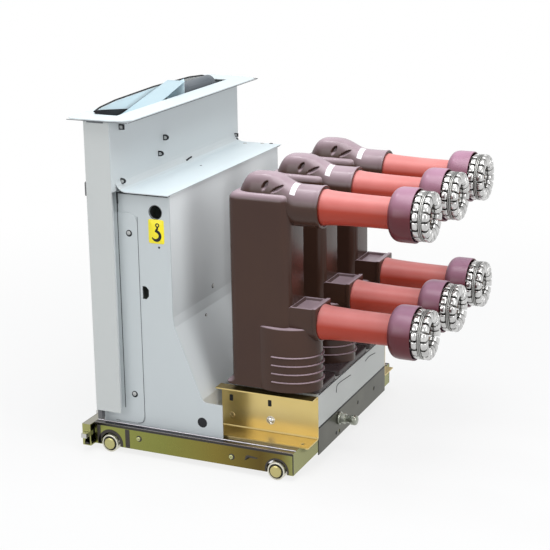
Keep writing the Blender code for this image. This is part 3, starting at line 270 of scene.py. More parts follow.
def grain_group():
    """Fine height of a moulded or sprayed surface, and a roughness that drifts a little with it."""
    tree, start, end = new_group(
        "fine_grain",
        {"Vector": ("NodeSocketVector", (0, 0, 0)), "Scale": ("NodeSocketFloat", 300.0),
         "Roughness": ("NodeSocketFloat", 0.5), "Spread": ("NodeSocketFloat", 0.1)},
        {"Height": "NodeSocketFloat", "Roughness": "NodeSocketFloat"})
    height = noise(tree, start.outputs["Vector"], start.outputs["Scale"], 2.0, 0.5)
    slow = noise(tree, start.outputs["Vector"], 9.0, 3.0)
    change = maths(tree, "MULTIPLY", maths(tree, "SUBTRACT", slow, 0.5), start.outputs["Spread"])
    tree.links.new(height, end.inputs["Height"])
    tree.links.new(maths(tree, "ADD", start.outputs["Roughness"], change, True), end.inputs["Roughness"])
    return tree


def dust_and_sheen_group():
    """How much of the top colour a face takes: none where it looks lower than Start, all where it looks
    straight up. The top colour is dust in some materials, and a painted sheen, painted highlight or painted
    shade in others.
    """
    tree, start, end = new_group(
        "dust_and_painted_sheen",
        {"Vector": ("NodeSocketVector", (0, 0, 0)), "Amount": ("NodeSocketFloat", 0.2),
         "Start": ("NodeSocketFloat", 0.55)},
        {"Dust": "NodeSocketFloat"})
    shape = tree.nodes.new("ShaderNodeNewGeometry")
    parts = tree.nodes.new("ShaderNodeSeparateXYZ")
    tree.links.new(shape.outputs["Normal"], parts.inputs[0])
    above = maths(tree, "SUBTRACT", parts.outputs["Z"], start.outputs["Start"], True)
    upward = maths(tree, "DIVIDE", above, maths(tree, "SUBTRACT", 1.0, start.outputs["Start"]), True)
    patch = maths(tree, "ADD", maths(tree, "MULTIPLY", noise(tree, start.outputs["Vector"], 14.0), 0.5),
                  0.7)
    dust = maths(tree, "MULTIPLY", maths(tree, "MULTIPLY", upward, patch), start.outputs["Amount"], True)
    tree.links.new(dust, end.inputs[0])
    return tree


def group_node(tree, group, **values):
    """Places a group and sets its inputs from sockets, numbers or colours."""
    node = tree.nodes.new("ShaderNodeGroup")
    node.node_tree = group
    for name, value in values.items():
        if isinstance(value, bpy.types.NodeSocket):
            tree.links.new(value, node.inputs[name])
        elif isinstance(value, tuple):
            node.inputs[name].default_value = (*value, 1.0)
        else:
            node.inputs[name].default_value = value
    return node


def finish_of(name, colour, second, rough, metallic=0.0, coat=0.0, drift=0.5, speck=0.1, scale=4.0,
              grain=300.0, depth=0.00002, spread=0.12, dust=0.1, dust_colour=(0.55, 0.54, 0.52),
              dust_start=0.55, stretch=None, specular=0.5, recolour=None):
    """A painted, plated or moulded finish: cloudy colour, fine grain in its gloss, and a top colour on
    up-facing faces, which is a little dust in some materials and a painted sheen or painted shade in others.
    """
    mat = bpy.data.materials.new(name)
    mat.use_nodes = True
    tree = mat.node_tree
    shader = tree.nodes["Principled BSDF"]
    shader.inputs["Metallic"].default_value = metallic
    shader.inputs["Coat Weight"].default_value = coat
    shader.inputs["Coat Roughness"].default_value = 0.1
    shader.inputs["Specular IOR Level"].default_value = specular
    coords = tree.nodes.new("ShaderNodeTexCoord").outputs["Object"]
    pattern = coords
    if stretch:
        mapping = tree.nodes.new("ShaderNodeMapping")
        mapping.inputs["Scale"].default_value = stretch
        tree.links.new(coords, mapping.inputs["Vector"])
        pattern = mapping.outputs[0]
    cloud = group_node(tree, CLOUDY, Vector=pattern, Colour=colour, Second=second, Scale=scale, Drift=drift,
                       Speck=speck).outputs[0]
    if recolour:
        cloud = recolour(tree, coords, cloud)
    grain_node = group_node(tree, GRAIN, Vector=pattern, Scale=grain, Roughness=rough, Spread=spread)
    # The top colour on up-facing faces: dust in some materials, painted sheen or painted shade in others.
    dust_and_sheen_share = group_node(tree, DUST_AND_SHEEN, Vector=coords, Amount=dust, Start=dust_start).outputs[0]
    tree.links.new(blend_colours(tree, dust_and_sheen_share, cloud, dust_colour), shader.inputs["Base Color"])
    tree.links.new(grain_node.outputs["Roughness"], shader.inputs["Roughness"])
    bump = tree.nodes.new("ShaderNodeBump")
    bump.inputs["Strength"].default_value = 0.5
    bump.inputs["Distance"].default_value = depth
    tree.links.new(grain_node.outputs["Height"], bump.inputs["Height"])
    tree.links.new(bump.outputs[0], shader.inputs["Normal"])
    return mat


def plated(name, colour, second, rough, dust=0.05, **more):
    """A finish of bare or plated metal."""
    return finish_of(name, colour, second, rough, metallic=1.0, dust=dust, **more)


def powder(name, colour, second, rough, dust=0.05, **more):
    """A finish of powder paint, with its close grain and its specks."""
    return finish_of(name, colour, second, rough, grain=520.0, depth=0.00005, speck=0.25, dust=dust, **more)


def ramp(tree, value, stops):
    """A colour ramp of (place, colour) stops over a value."""
    node = tree.nodes.new("ShaderNodeValToRGB")
    while len(node.color_ramp.elements) < len(stops):
        node.color_ramp.elements.new(0.5)
    for element, (place, colour) in zip(node.color_ramp.elements, stops):
        element.position = place
        element.color = (*colour, 1.0)
    tree.links.new(value, node.inputs[0])
    return node.outputs[0]


def along(tree, coords, axis, low, high):
    """A value that goes from 0 to 1 between two distances, in metres, along an axis."""
    parts = tree.nodes.new("ShaderNodeSeparateXYZ")
    tree.links.new(coords, parts.inputs[0])
    return maths(tree, "MULTIPLY", maths(tree, "SUBTRACT", parts.outputs[axis], low), 1.0 / (high - low),
                 True)


def channel_colours(tree, coords, cloud):
    """Chromate that turns from green at the front to gold brown ahead of the rear wheel."""
    place = along(tree, coords, 1, -0.39, 0.14)
    tint = ramp(tree, place, [(0.0, (0.26, 0.28, 0.075)), (0.35, (0.21, 0.22, 0.050)),
                              (0.62, (0.20, 0.15, 0.028)), (0.84, (0.085, 0.045, 0.008)),
                              (0.94, (0.15, 0.11, 0.024)), (1.0, (0.28, 0.29, 0.10))])
    return blend_colours(tree, 0.85, cloud, tint)


def cover_shade_ramp(tree, coords, cloud):
    """Paint lighter towards the top and darker lower down, where the poles stand before it: painted light and
    painted shade.
    """
    place = along(tree, coords, 2, 0.36, 0.62)
    tint = ramp(tree, place, [(0.0, (0.60, 0.63, 0.64)), (1.0, (0.86, 0.89, 0.90))])
    return blend_colours(tree, 0.85, cloud, tint)


# Meshes from grids of points


def metres(points):
    """Millimetres in the source's frame to metres in the model's frame."""
    moved = np.array(points, float).reshape(-1, 3)
    moved[:, 1] -= MID_Y
    return moved * MM


def shell(grid, wrap_rows=False):
    """Points and faces over rows of closed rings; each open end is shut by a fan round its mean point."""
    rows, cols = grid.shape[:2]
    r = np.arange(rows if wrap_rows else rows - 1)
    c = np.arange(cols)
    a, b = np.meshgrid(r, c, indexing="ij")
    a2, b2 = (a + 1) % rows, (b + 1) % cols
    quads = np.stack([a * cols + b, a * cols + b2, a2 * cols + b2, a2 * cols + b], -1).reshape(-1, 4)
    points = grid.reshape(-1, 3)
    faces = quads.tolist()
    if not wrap_rows:
        k = np.arange(cols)
        k2 = (k + 1) % cols
        n = len(points)
        last = (rows - 1) * cols
        points = np.vstack([points, grid[0].mean(axis=0), grid[-1].mean(axis=0)])
        faces += np.stack([k2, k, np.full(cols, n)], -1).tolist()
        faces += np.stack([k + last, k2 + last, np.full(cols, n + 1)], -1).tolist()
    return points, faces


def make(name, shells, mat, body, replaces=(), sharp=35.0):
    """Joins shells into one piece, with smooth shading up to an angle, and fixes it to its CAD body."""
    points, faces, count = [], [], 0
    for pts, quads in shells:
        points.append(metres(pts))
        faces += [[i + count for i in q] for q in quads]
        count += len(pts)
    mesh = bpy.data.meshes.new(name)
    mesh.from_pydata(np.vstack(points).tolist(), [], faces)
    bm = bmesh.new()
    bm.from_mesh(mesh)
    bmesh.ops.remove_doubles(bm, verts=bm.verts, dist=0.000002)
    bmesh.ops.recalc_face_normals(bm, faces=bm.faces)
    bm.to_mesh(mesh)
    bm.free()
    mesh.polygons.foreach_set("use_smooth", np.ones(len(mesh.polygons), dtype=bool))
    mesh.set_sharp_from_angle(angle=math.radians(sharp))
    mesh.materials.append(mat)
    obj = bpy.data.objects.new(name, mesh)
    bpy.context.scene.collection.objects.link(obj)
    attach(obj, body)
    if replaces:
        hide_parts(*replaces)
    return obj


def shifted(parts, dx=0.0, dz=0.0):
    """The same shells moved sideways and up."""
    return [(np.asarray(p) + (dx, 0.0, dz), f) for p, f in parts]


def eased(at, keys, blur):
    """Values between (place, value) keys, averaged over a window of blur each way to round the corners."""
    keys = np.array(keys, float)
    offsets = np.linspace(-blur, blur, 9)
    return np.interp(np.asarray(at)[:, None] + offsets, keys[:, 0], keys[:, 1]).mean(axis=1)


def softened(points, radius, steps=4, closed=False):
    """A polyline with each inner corner turned into a quadratic curve that starts radius before it."""
    pts = np.array(points, float)
    n = len(pts)
    out = [] if closed else [pts[:1]]
    t = np.linspace(0, 1, steps + 1)[:, None]
    for i in range(n) if closed else range(1, n - 1):
        p, a, b = pts[i], pts[i - 1], pts[(i + 1) % n]
        la, lb = np.linalg.norm(a - p), np.linalg.norm(b - p)
        reach = min(radius, la * 0.49, lb * 0.49)
        s, e = p + (a - p) / la * reach, p + (b - p) / lb * reach
        out.append((1 - t) ** 2 * s + 2 * t * (1 - t) * p + t ** 2 * e)
    if not closed:
        out.append(pts[-1:])
    return np.vstack(out)


def turned(profile, centre, axis="y", steps=72):
    """Turns (radius, distance) rows round a line: a ring at radius times cosine and sine of the turn."""
    profile = np.asarray(profile, float)
    angle = np.linspace(0, 2 * math.pi, steps, endpoint=False)
    a = centre[0] + profile[:, :1] * np.cos(angle)
    b = centre[1] + profile[:, :1] * np.sin(angle)
    d = np.broadcast_to(profile[:, 1:2], a.shape)
    order = {"x": (d, a, b), "y": (a, d, b), "z": (a, b, d)}[axis]
    return np.stack(order, -1)


def rounded_rows(half_w, low, high, radius, steps):
    """One rounded rectangle per row, as (x, y) points: four corner arcs joined by straight runs."""
    half_w, low, high, radius = (np.asarray(v, float)[:, None] for v in (half_w, low, high, radius))
    t = np.linspace(0, math.pi / 2, steps + 1)
    angle = np.concatenate([t + k * math.pi / 2 for k in range(4)])
    sx = np.repeat([1, -1, -1, 1], steps + 1)
    sy = np.repeat([1, 1, -1, -1], steps + 1)
    cx = (half_w - radius) * sx
    cy = np.where(sy > 0, high - radius, low + radius)
    return np.stack([cx + radius * np.cos(angle), cy + radius * np.sin(angle)], -1)


def standing(outline, heights):
    """Rows of (x, y) outlines put at their heights."""
    z = np.broadcast_to(np.asarray(heights, float)[:, None, None], outline.shape[:2] + (1,))
    return np.concatenate([outline, z], -1)


# Poles


POLE_HALF = 52.0
POLE_FRONT, POLE_REAR = 258.0, 413.0
POLE_CORNER = 21.0
BARREL_HALF = (62.0, 86.0)
BARREL_Y = 385.0
BARREL_TOP = 349.5
SHED_LOWEST, SHED_PITCH, SHED_COUNT = 218.0, 20.5, 4
FOOT_FRONT, FOOT_REAR = 246.0, 468.0
SHOULDER_TOP = 664.0
SHOULDER_R = 19.0
BASE_LOW, BASE_TOP = 183.4, 196.3
BASE_REACH = {"right": (103.0, 19.3), "middle": (103.0, 103.0), "left": (19.3, 103.0)}


def pole_body():
    """A rounded rectangle swept up in z: its foot flares forward, and its shoulder rounds over."""
    over = np.linspace(0, math.pi / 2, 10)
    rise = np.linspace(0, 1, 8)
    z = np.concatenate([[BASE_TOP - 2], 198.3 + 20 * rise, np.linspace(240, 640, 12),
                        SHOULDER_TOP - SHOULDER_R * (1 - np.sin(over))])
    inset = np.concatenate([np.zeros(21), SHOULDER_R * (1 - np.cos(over))])
    flare = np.concatenate([[15], 15 * (1 - rise) ** 2, np.zeros(22)])
    rows = rounded_rows(POLE_HALF - inset, POLE_FRONT - flare + inset, POLE_REAR - inset / 4,
                        POLE_CORNER - inset / 3, 9)
    return shell(standing(rows, z))


HEAD_TOP = [(270, 648), (275, 658), (281, 674), (289, 690), (299, 701), (312, 706), (340, 707.5),
            (362, 706), (380, 700), (396, 692), (410, 685.5), (424, 683), (490, 683)]
HEAD_HALF = [(270, 18), (276, 28), (284, 34), (296, 38), (312, 40), (345, 40), (380, 41), (400, 44),
             (416, 48), (430, 49), (490, 49)]
HEAD_SQUARE = [(270, 2.3), (300, 2.7), (370, 2.6), (400, 2.2), (425, 2.0), (490, 2.0)]
HEAD_DENTS = [((348.5, 681.0), (10.0, 5.0), 62.0, 9.0), ((379.0, 675.0), (14.0, 3.6), 30.0, 8.0)]


def pole_head():
    """Hump and upper socket swept along y: a superellipse whose height, width and squareness follow keys.

    The two marks in its side are hollows: a smooth step inside a leaning ellipse, taken off x.
    """
    z0, end = LEVELS["upper"]
    y = np.concatenate([np.linspace(272, 300, 14), np.linspace(302, 330, 12), np.linspace(331.5, 397, 46),
                        np.linspace(400, 430, 12), np.linspace(436, end - 3, 8),
                        [end - 1.2, end - 0.3, end]])
    up = eased(y, HEAD_TOP, 5.0) - z0
    wide = eased(y, HEAD_HALF, 5.0)
    power = eased(y, HEAD_SQUARE, 5.0)
    drop = np.concatenate([np.zeros(len(y) - 3), [0.4, 1.2, 2.6]])
    lip = np.where((y > end - 9) & (y < end), 1.4, 0.0)
    angle = np.linspace(0, 2 * math.pi, 168, endpoint=False)
    c, s = np.cos(angle), np.sin(angle)
    p = 2 / power[:, None]
    px = np.sign(c) * np.abs(c) ** p
    pz = np.sign(s) * np.abs(s) ** np.where(s > 0, p, 1.0)
    x = (wide - drop + lip)[:, None] * np.where(s > 0, px, c)
    high = np.where(s > 0, (up - drop + lip)[:, None], (49 - drop + lip)[:, None])
    z = z0 + high * pz
    yy = np.broadcast_to(y[:, None], x.shape)
    depth = np.zeros_like(x)
    for (dy, dz), (long, short), tilt, deep in HEAD_DENTS:
        lean = math.radians(tilt)
        u = ((yy - dy) * math.cos(lean) + (z - dz) * math.sin(lean)) / long
        v = ((z - dz) * math.cos(lean) - (yy - dy) * math.sin(lean)) / short
        inside = np.clip((1.3 - np.hypot(u, v)) / 0.7, 0, 1)
        depth += deep * inside * inside * (3 - 2 * inside)
    x = x - np.sign(x) * depth
    outer = np.stack([x, yy, z], -1)
    bore = turned([(46.0, end), (44.5, end - 0.8), (44.0, end - 2.5), (42.4, end - 3), (42.4, end - 13)],
                  (0, z0), steps=168)
    return shell(np.concatenate([outer, bore]))


SOCKET_NOSE_Y = (397.0, 413.0)


def lower_socket():
    """A section round below and square above swept along y, with a nose, a hollow top and a lip."""
    z0, end = LEVELS["lower"]
    w = 44.0
    low = [(w * math.cos(t), w * math.sin(t)) for t in np.linspace(math.pi, 2 * math.pi, 25)]
    top = [(w, 34.0), (w, 42.0), (w - 4.0, 42.0), (w - 6.5, 34.5)]
    top = top + [(-x, z) for x, z in reversed(top)]
    flat_top = [(w, 34.0), (w, 42.0), (w - 4.0, 42.0), (w - 6.5, 42.0)]
    flat_top = flat_top + [(-x, z) for x, z in reversed(flat_top)]
    hollow, full = (softened(low + t, 2.2, 3, True) for t in (top, flat_top))
    stations = [(y, full, 1.0) for y in (340, 394, 397, 401, 406, 412, 415)]
    stations += [(417, hollow, 1.0), (460, hollow, 1.0), (462, full, 1.0), (466.5, full, 1.0)]
    stations += [(468, full, 1.045), (end - 2, full, 1.055), (end - 0.6, full, 1.045), (end, full, 1.02)]
    rows = []
    for y, s, k in stations:
        roof = np.where(s[:, 1] > 0, math.sin(np.interp(y, SOCKET_NOSE_Y, (0.45, math.pi / 2))), 1.0)
        rows.append(np.column_stack([s[:, 0] * k, np.full(len(s), y), z0 + s[:, 1] * k * roof]))
    angle = np.arctan2(full[:, 1], full[:, 0])
    for r, y in ((43.2, end), (42.6, end - 2), (42.4, end - 12)):
        rows.append(np.column_stack([r * np.cos(angle), np.full(len(angle), y), z0 + r * np.sin(angle)]))
    return shell(np.stack(rows))


def pole_barrel():
    """The ellipse of the lower barrel swept up in z, rounded over at its top edge."""
    edge = 3.5
    over = np.linspace(0, math.pi / 2, 6)
    z = np.concatenate([[BASE_TOP - 2, BARREL_TOP - edge], BARREL_TOP - edge + edge * np.sin(over)])
    inset = np.concatenate([[0, 0], edge * (1 - np.cos(over))])[:, None]
    angle = np.linspace(0, 2 * math.pi, 96, endpoint=False)
    x = (BARREL_HALF[0] - inset) * np.cos(angle)
    y = BARREL_Y + (BARREL_HALF[1] - inset) * np.sin(angle)
    return shell(standing(np.stack([x, y], -1), z))


def shed(z):
    """A half round lip carried round the rear of the barrel's ellipse, and shut off square at both sides."""
    turn = np.linspace(math.radians(-9.5), math.radians(189.5), 64)
    lip = np.array([(-4, -3.4), (1.0, -3.0), (3.4, -2.2), (4.4, -0.8), (4.4, 0.3), (3.8, 1.1), (1.8, 1.7),
                    (-4, 2.2)])
    x = (BARREL_HALF[0] + lip[None, :, 0]) * np.cos(turn)[:, None]
    y = BARREL_Y + (BARREL_HALF[1] + lip[None, :, 0]) * np.sin(turn)[:, None]
    zz = np.broadcast_to(z + lip[None, :, 1], x.shape)
    return shell(np.stack([x, y, zz], -1))


def pole_base(inner, outer):
    """The foot plate: a rounded rectangle, its top edge rounded over; inner and outer are its reach in x."""
    over = np.linspace(0, math.pi / 2, 5)
    z = np.concatenate([[BASE_LOW, BASE_LOW + 1], BASE_TOP - 3 * (1 - np.sin(over))])
    inset = np.concatenate([[1, 0], 3 * (1 - np.cos(over))])
    rows = rounded_rows((inner + outer) / 2 - inset, FOOT_FRONT + inset, FOOT_REAR - inset,
                        np.full(len(z), 15.0), 6)
    rows[..., 0] += (outer - inner) / 2
    return shell(standing(rows, z))


def neck_highlight():
    """A white strip over the upper socket's neck, a painted highlight: the head's own section, 0.4 mm outside
    it.

    Past the crown its rows turn straight down, which closes the strip's end.
    """
    z0 = LEVELS["upper"][0]
    y = np.linspace(411.0, 424.0, 9)
    angle = np.radians(np.linspace(38, 96, 24))
    up = eased(y, HEAD_TOP, 5.0) - z0
    wide = eased(y, HEAD_HALF, 5.0)
    p = 2 / eased(y, HEAD_SQUARE, 5.0)[:, None]
    rings = []
    for lift in (0.4, 0.1):
        x = (wide + lift)[:, None] * np.cos(angle).clip(0) ** p - 0.02 * (angle > math.pi / 2)
        z = z0 + (up + lift)[:, None] * np.sin(angle) ** p
        rings.append(np.stack([x, np.broadcast_to(y[:, None], x.shape), z], -1))
    return shell(np.concatenate([rings[0], rings[1][:, ::-1]], axis=1))


def poles(mats):
    """Three cast resin poles on one set of shells, each with its foot plate, made darker as painted shade,
    and a white strip on its neck as a painted highlight.
    """
    parts = [pole_body(), pole_head(), lower_socket(), pole_barrel()]
    parts += [shed(SHED_LOWEST + SHED_PITCH * k) for k in range(SHED_COUNT)]
    for side, x in PHASES.items():
        make(f"cast_pole_{side}", shifted(parts, x), mats["epoxy"], "truck", (f"pole_{side}",))
        foot = shifted([pole_base(*BASE_REACH[side])], x)
        # Foot plates: a darker copy of the epoxy, painted shade.
        make(f"pole_foot_{side}", foot, mats["foot_epoxy"], "truck")
        # White strip on the neck: a painted highlight.
        make(f"pole_tag_{side}", shifted([neck_highlight()], x), mats["tag"], "truck")


# Arms


def sleeves(mats):
    """Silicone sleeves: a profile turned round y, belled at the socket and drawn in towards the contact."""
    for level, (z, end) in LEVELS.items():
        outer = [(41.6, end - 12), (41.6, end - 1), (42.0, end + 1.5), (41.4, end + 5), (40.0, end + 14),
                 (38.8, end + 34), (37.6, end + 66), (36.8, end + 100), (36.5, end + 130), (36.4, 656)]
        profile = np.vstack([[(33.0, end - 12)], softened(outer, 8.0, 4), [(33.0, 656)]])
        for side, x in PHASES.items():
            make(f"silicone_sleeve_{level}_{side}", [shell(turned(profile, (x, z), steps=96))],
                 mats["silicone"], "truck", (f"sleeve_{level}_{side}",))


def collars(mats):
    """Caps over the cluster's root: a rounded shoulder, a plain skirt and a hollow mouth, turned round y."""
    shoulder = [(36.9, 650.0), (40.0, 649.2), (46.0, 649.6), (53.0, 653.0), (58.5, 658.0), (61.6, 664.5),
                (62.6, 672.0), (62.6, 705.5)]
    mouth = [(62.2, 707.4), (61.0, 708.0), (59.6, 707.4), (58.8, 705.0), (58.6, 686.0), (56.0, 680.0),
             (36.9, 678.0)]
    profile = np.vstack([softened(shoulder, 5.0, 4), mouth])
    for level, (z, _) in LEVELS.items():
        for side, x in PHASES.items():
            cap = shell(turned(profile, (x, z), steps=96), wrap_rows=True)
            make(f"contact_cap_{level}_{side}", [cap], mats["mauve"], "truck",
                 (f"collar_{level}_{side}",))


FINGERS = 16
FINGER_HALF_TURN = math.radians(9.0)
FINGER_PROFILE = [(50.5, 706.5), (55.0, 706.5), (56.8, 709.0), (57.3, 714.0), (57.3, 719.5), (55.8, 722.0),
                  (53.4, 723.5), (53.2, 727.0), (53.4, 730.5), (55.6, 732.0), (57.2, 734.5), (57.4, 739.0),
                  (56.0, 743.4), (52.5, 745.8), (44.0, 746.0), (36.0, 745.4), (31.0, 743.0), (28.4, 739.0),
                  (28.0, 734.0), (29.4, 729.0), (33.6, 724.0), (36.0, 716.0), (36.5, 708.5), (40.0, 706.5)]


def finger():
    """A closed side profile carried across the finger's width, drawn in along its normals at both flanks."""
    side = softened(FINGER_PROFILE, 1.2, 1, True)
    step = np.roll(side, -1, axis=0) - np.roll(side, 1, axis=0)
    normal = np.column_stack([step[:, 1], -step[:, 0]])
    normal /= np.linalg.norm(normal, axis=1)[:, None]
    middle = side - side.mean(axis=0)
    if (normal * middle).sum() < 0:
        normal = -normal
    share = np.array([-1.0, -0.97, -0.86, -0.5, 0.0, 0.5, 0.86, 0.97, 1.0])
    inset = np.array([1.9, 1.0, 0.35, 0.06, 0.0, 0.06, 0.35, 1.0, 1.9])
    rows = side[None] - normal[None] * inset[:, None, None]
    turn = share * FINGER_HALF_TURN
    r, y = rows[:, :, 0], rows[:, :, 1]
    return np.stack([r * np.cos(turn)[:, None], y, r * np.sin(turn)[:, None]], -1)


def garter_spring(y, ring_r, wire_r):
    """A coil closed on itself: the section's radius swells once for every turn of wire."""
    turns = 84
    round_it = np.linspace(0, 2 * math.pi, turns * 4, endpoint=False)
    around = np.linspace(0, 2 * math.pi, 9, endpoint=False)
    swell = wire_r * (1 + 0.16 * np.cos(turns * round_it[:, None] + around[None]))
    r = ring_r + swell * np.cos(around)
    yy = y + swell * np.sin(around)
    return shell(np.stack([r * np.cos(round_it)[:, None], yy, r * np.sin(round_it)[:, None]], -1),
                 wrap_rows=True)


def contact_cluster():
    """Fingers, the two garter springs and the cage ring, round the line x = 0, z = 0."""
    one = finger()
    parts = []
    for k in range(FINGERS):
        t = 2 * math.pi * (k + 0.5) / FINGERS
        x = one[..., 0] * math.cos(t) - one[..., 2] * math.sin(t)
        z = one[..., 0] * math.sin(t) + one[..., 2] * math.cos(t)
        parts.append(shell(np.stack([x, one[..., 1], z], -1)))
    cage = [(33.0, 700.6), (53.8, 700.6), (54.6, 702.0), (54.6, 706.8), (53.6, 707.6), (49.0, 708.0),
            (49.0, 712.0), (37.5, 712.0), (33.0, 711.0)]
    parts.append(shell(turned(cage, (0, 0), steps=80), wrap_rows=True))
    hub = [(0, 722.2), (30.0, 722.2), (31.6, 721.4), (32.0, 720.0), (32.0, 701.0), (0, 701.0)]
    parts.append(shell(turned(np.array(hub) + [(0.01, 0)] * len(hub), (0, 0), steps=64), wrap_rows=True))
    return parts


def tulips(mats):
    """Six finger contact clusters with their springs."""
    parts = contact_cluster()
    springs = [garter_spring(725.6, 55.0, 1.7), garter_spring(729.4, 55.0, 1.7)]
    for level, (z, _) in LEVELS.items():
        for side, x in PHASES.items():
            make(f"finger_contact_{level}_{side}", shifted(parts, x, z), mats["silver"], "truck",
                 (f"tulip_{level}_{side}",))
            make(f"garter_springs_{level}_{side}", shifted(springs, x, z), mats["spring_steel"], "truck",
                 sharp=60)


# Fasteners and small trim


def facing(grid, axis, at, side=1.0):
    """Turns rows drawn as (across, up, out) so that out runs along an axis, and moves them to their place."""
    across, up, out = grid[..., 0], grid[..., 1], grid[..., 2] * side
    order = {"x": (out, across, up), "y": (across, out, up), "z": (across, up, out)}[axis]
    return shell(np.stack(order, -1) + np.array(at, float))


def pan_screw(at, axis, side=1.0, r=5.0, high=2.6):
    """A pan head: rings that shrink as they rise over a quarter ellipse, with a slot across the crown."""
    t = np.linspace(0, math.pi / 2, 7)
    rings = np.column_stack([np.maximum(r * np.cos(t), 0.05), high * np.sin(t) ** 0.8])
    grid = turned(np.vstack([[(r, -0.6)], rings]), (0, 0), "z", 32)
    groove = (np.abs(grid[..., 0] * 0.8 + grid[..., 1] * 0.6) < r * 0.17) & (grid[..., 2] > high * 0.5)
    grid[..., 2] = np.where(groove, grid[..., 2] - high * 0.45, grid[..., 2])
    return facing(grid, axis, at, side)


def disc(at, axis, side=1.0, r=6.0, high=0.6):
    """A flat round washer with its outer edge rounded."""
    return facing(turned([(r, -0.4), (r, high * 0.6), (r * 0.95, high), (0.05, high)], (0, 0), "z", 32),
                  axis, at, side)


def hex_head(at, axis, side=1.0, flat=8.0, high=5.0):
    """A hexagon with a chamfered crown."""
    angle = np.linspace(0, 2 * math.pi, 48, endpoint=False)
    near = flat / np.cos((angle + math.pi / 6) % (math.pi / 3) - math.pi / 6)
    rows = [(near, -0.5), (near, high * 0.78), (np.minimum(near, flat * 1.03), high),
            (angle * 0 + 0.05, high)]
    grid = np.stack([np.stack([r * np.cos(angle), r * np.sin(angle), np.full(48, h)], -1) for r, h in rows])
    return facing(grid, axis, at, side)


def plate(outline, low, high, axis, soft=0.4):
    """A flat plate from an outline, with both its edges drawn in a little towards its middle."""
    pts = np.asarray(outline, float)
    mid = pts.mean(axis=0)
    pull = (pts - mid) / np.linalg.norm(pts - mid, axis=1)[:, None]
    rows = []
    for inset, d in ((soft, low), (0, low + soft / 2), (0, high - soft / 2), (soft, high)):
        a = pts - pull * inset
        d = np.full(len(pts), d)
        order = {"x": (d, a[:, 0], a[:, 1]), "y": (a[:, 0], d, a[:, 1]), "z": (a[:, 0], a[:, 1], d)}[axis]
        rows.append(np.stack(order, -1))
    return shell(np.stack(rows))


def rect(x0, y0, x1, y1, r=0.0, steps=5):
    """A rectangle's outline with round corners."""
    corners = [(x0, y0), (x1, y0), (x1, y1), (x0, y1)]
    return softened(corners, r, steps, True) if r else corners


def rod_along(points, r, steps=10, side=(1.0, 0.0, 0.0)):
    """A round section carried along a path that lies square to side; its frame turns with the path."""
    pts = np.asarray(points, float)
    step = np.gradient(pts, axis=0)
    step /= np.linalg.norm(step, axis=1)[:, None]
    side = np.array(side, float)
    other = np.cross(step, side)
    angle = np.linspace(0, 2 * math.pi, steps, endpoint=False)
    ring = side * np.cos(angle)[None, :, None] + other[:, None, :] * np.sin(angle)[None, :, None]
    return shell(pts[:, None, :] + ring * r)


def both_sides(parts):
    """Shells made for the right side, and the same mirrored to the left."""
    return parts + [(np.asarray(p) * (-1, 1, 1), [q[::-1] for q in f]) for p, f in parts]


SIDE_X = 304.7
PAD_X = 306.2
RETURN_X = 336.0
PANEL_Y = -69.0
CHANNEL_X = 325.0
BRACKET_X = 229.3
TRAY_REAR = 469.0
PAD_SCREWS = [(22.8, 553.5), (20.8, 150.9)]
CHANNEL_SCREWS = [(37.4, 43.6), (286.2, 37.3)]
PANEL_SCREWS = [(x, z) for x in (-318.0, 318.0) for z in (130.0, 300.0, 480.0, 660.0, 806.0)]
BUTTONS = ((-40.0, 500.0), (40.0, 500.0))
WINDOW = (60.0, 430.0)
CHARGING_HOLE = (-60.0, 360.0)
LIFT_HOLE = (95.0, 609.0)
RIM_UNDERSIDE = 824.4


def side_trim(mats):
    """Both side plates: screws with painted shade round them, painted shadow lines for the frame's seam and
    under the top sheet's edge, a small dark dot, painted shade in the foot hole and round the lift hole, and
    a painted shade line round the pad.
    """
    heads = [pan_screw((PAD_X, y, z), "x", 1.0, 5.2, 2.4) for y, z in PAD_SCREWS]
    # Dark discs set off a little from each screw: painted shade round the heads.
    shade_marks = [disc((PAD_X, y + 0.9, z - 0.9), "x", 1.0, 8.2, 0.35) for y, z in PAD_SCREWS]
    # Dark strips for the frame's seam and under the near edge of the top sheet: painted shadow lines.
    shade_marks += [plate(rect(-6.2, 112, -4.6, 648, 0.6, 2), PAD_X - 1.8, PAD_X + 0.3, "x", 0.2),
              plate(rect(-6.6, 622, -3.2, 650, 0.6, 2), PAD_X - 1.8, PAD_X + 0.5, "x", 0.2),
              plate(rect(SIDE_X - 3, 3.0, 317.6, 134.0, 1.0, 2), 650.2, 652.8, "z", 0.3),
              disc((SIDE_X, 102.0, 525.0), "x", 1.0, 2.6, 0.5),
              # A dark disc filling the foot hole: painted shade.
              disc((SIDE_X - 1.0, 202.0, 103.0), "x", 1.0, 12.8, 0.4)]
    # A dark ring round the lift hole: painted shade at its edge.
    ring = [(15.7, SIDE_X - 0.2), (17.4, SIDE_X - 0.2), (17.4, SIDE_X + 0.3), (15.7, SIDE_X + 0.3)]
    shade_marks.append(shell(turned(ring, LIFT_HOLE, "x", 56), wrap_rows=True))
    # A grey line round the pad: painted shade along its edge.
    corner = softened([(46.4, 594), (46.4, 75.7), (-34, 75.7)], 20.0, 10)
    outline = [rod_along(np.column_stack([np.full(len(corner), SIDE_X + 0.5), corner]), 0.75, 8)]
    closing = plate(rect(306.8, 110, 334.0, 648), -17.0, -14.6, "y", 0.2)
    make("housing_side_screws", both_sides(heads), mats["paint"], "truck")
    make("housing_side_seams", both_sides(shade_marks), mats["dark"], "truck")
    make("housing_pad_outlines", both_sides(outline), mats["line"], "truck")
    make("panel_return_closings", both_sides([closing]), mats["grey"], "truck")


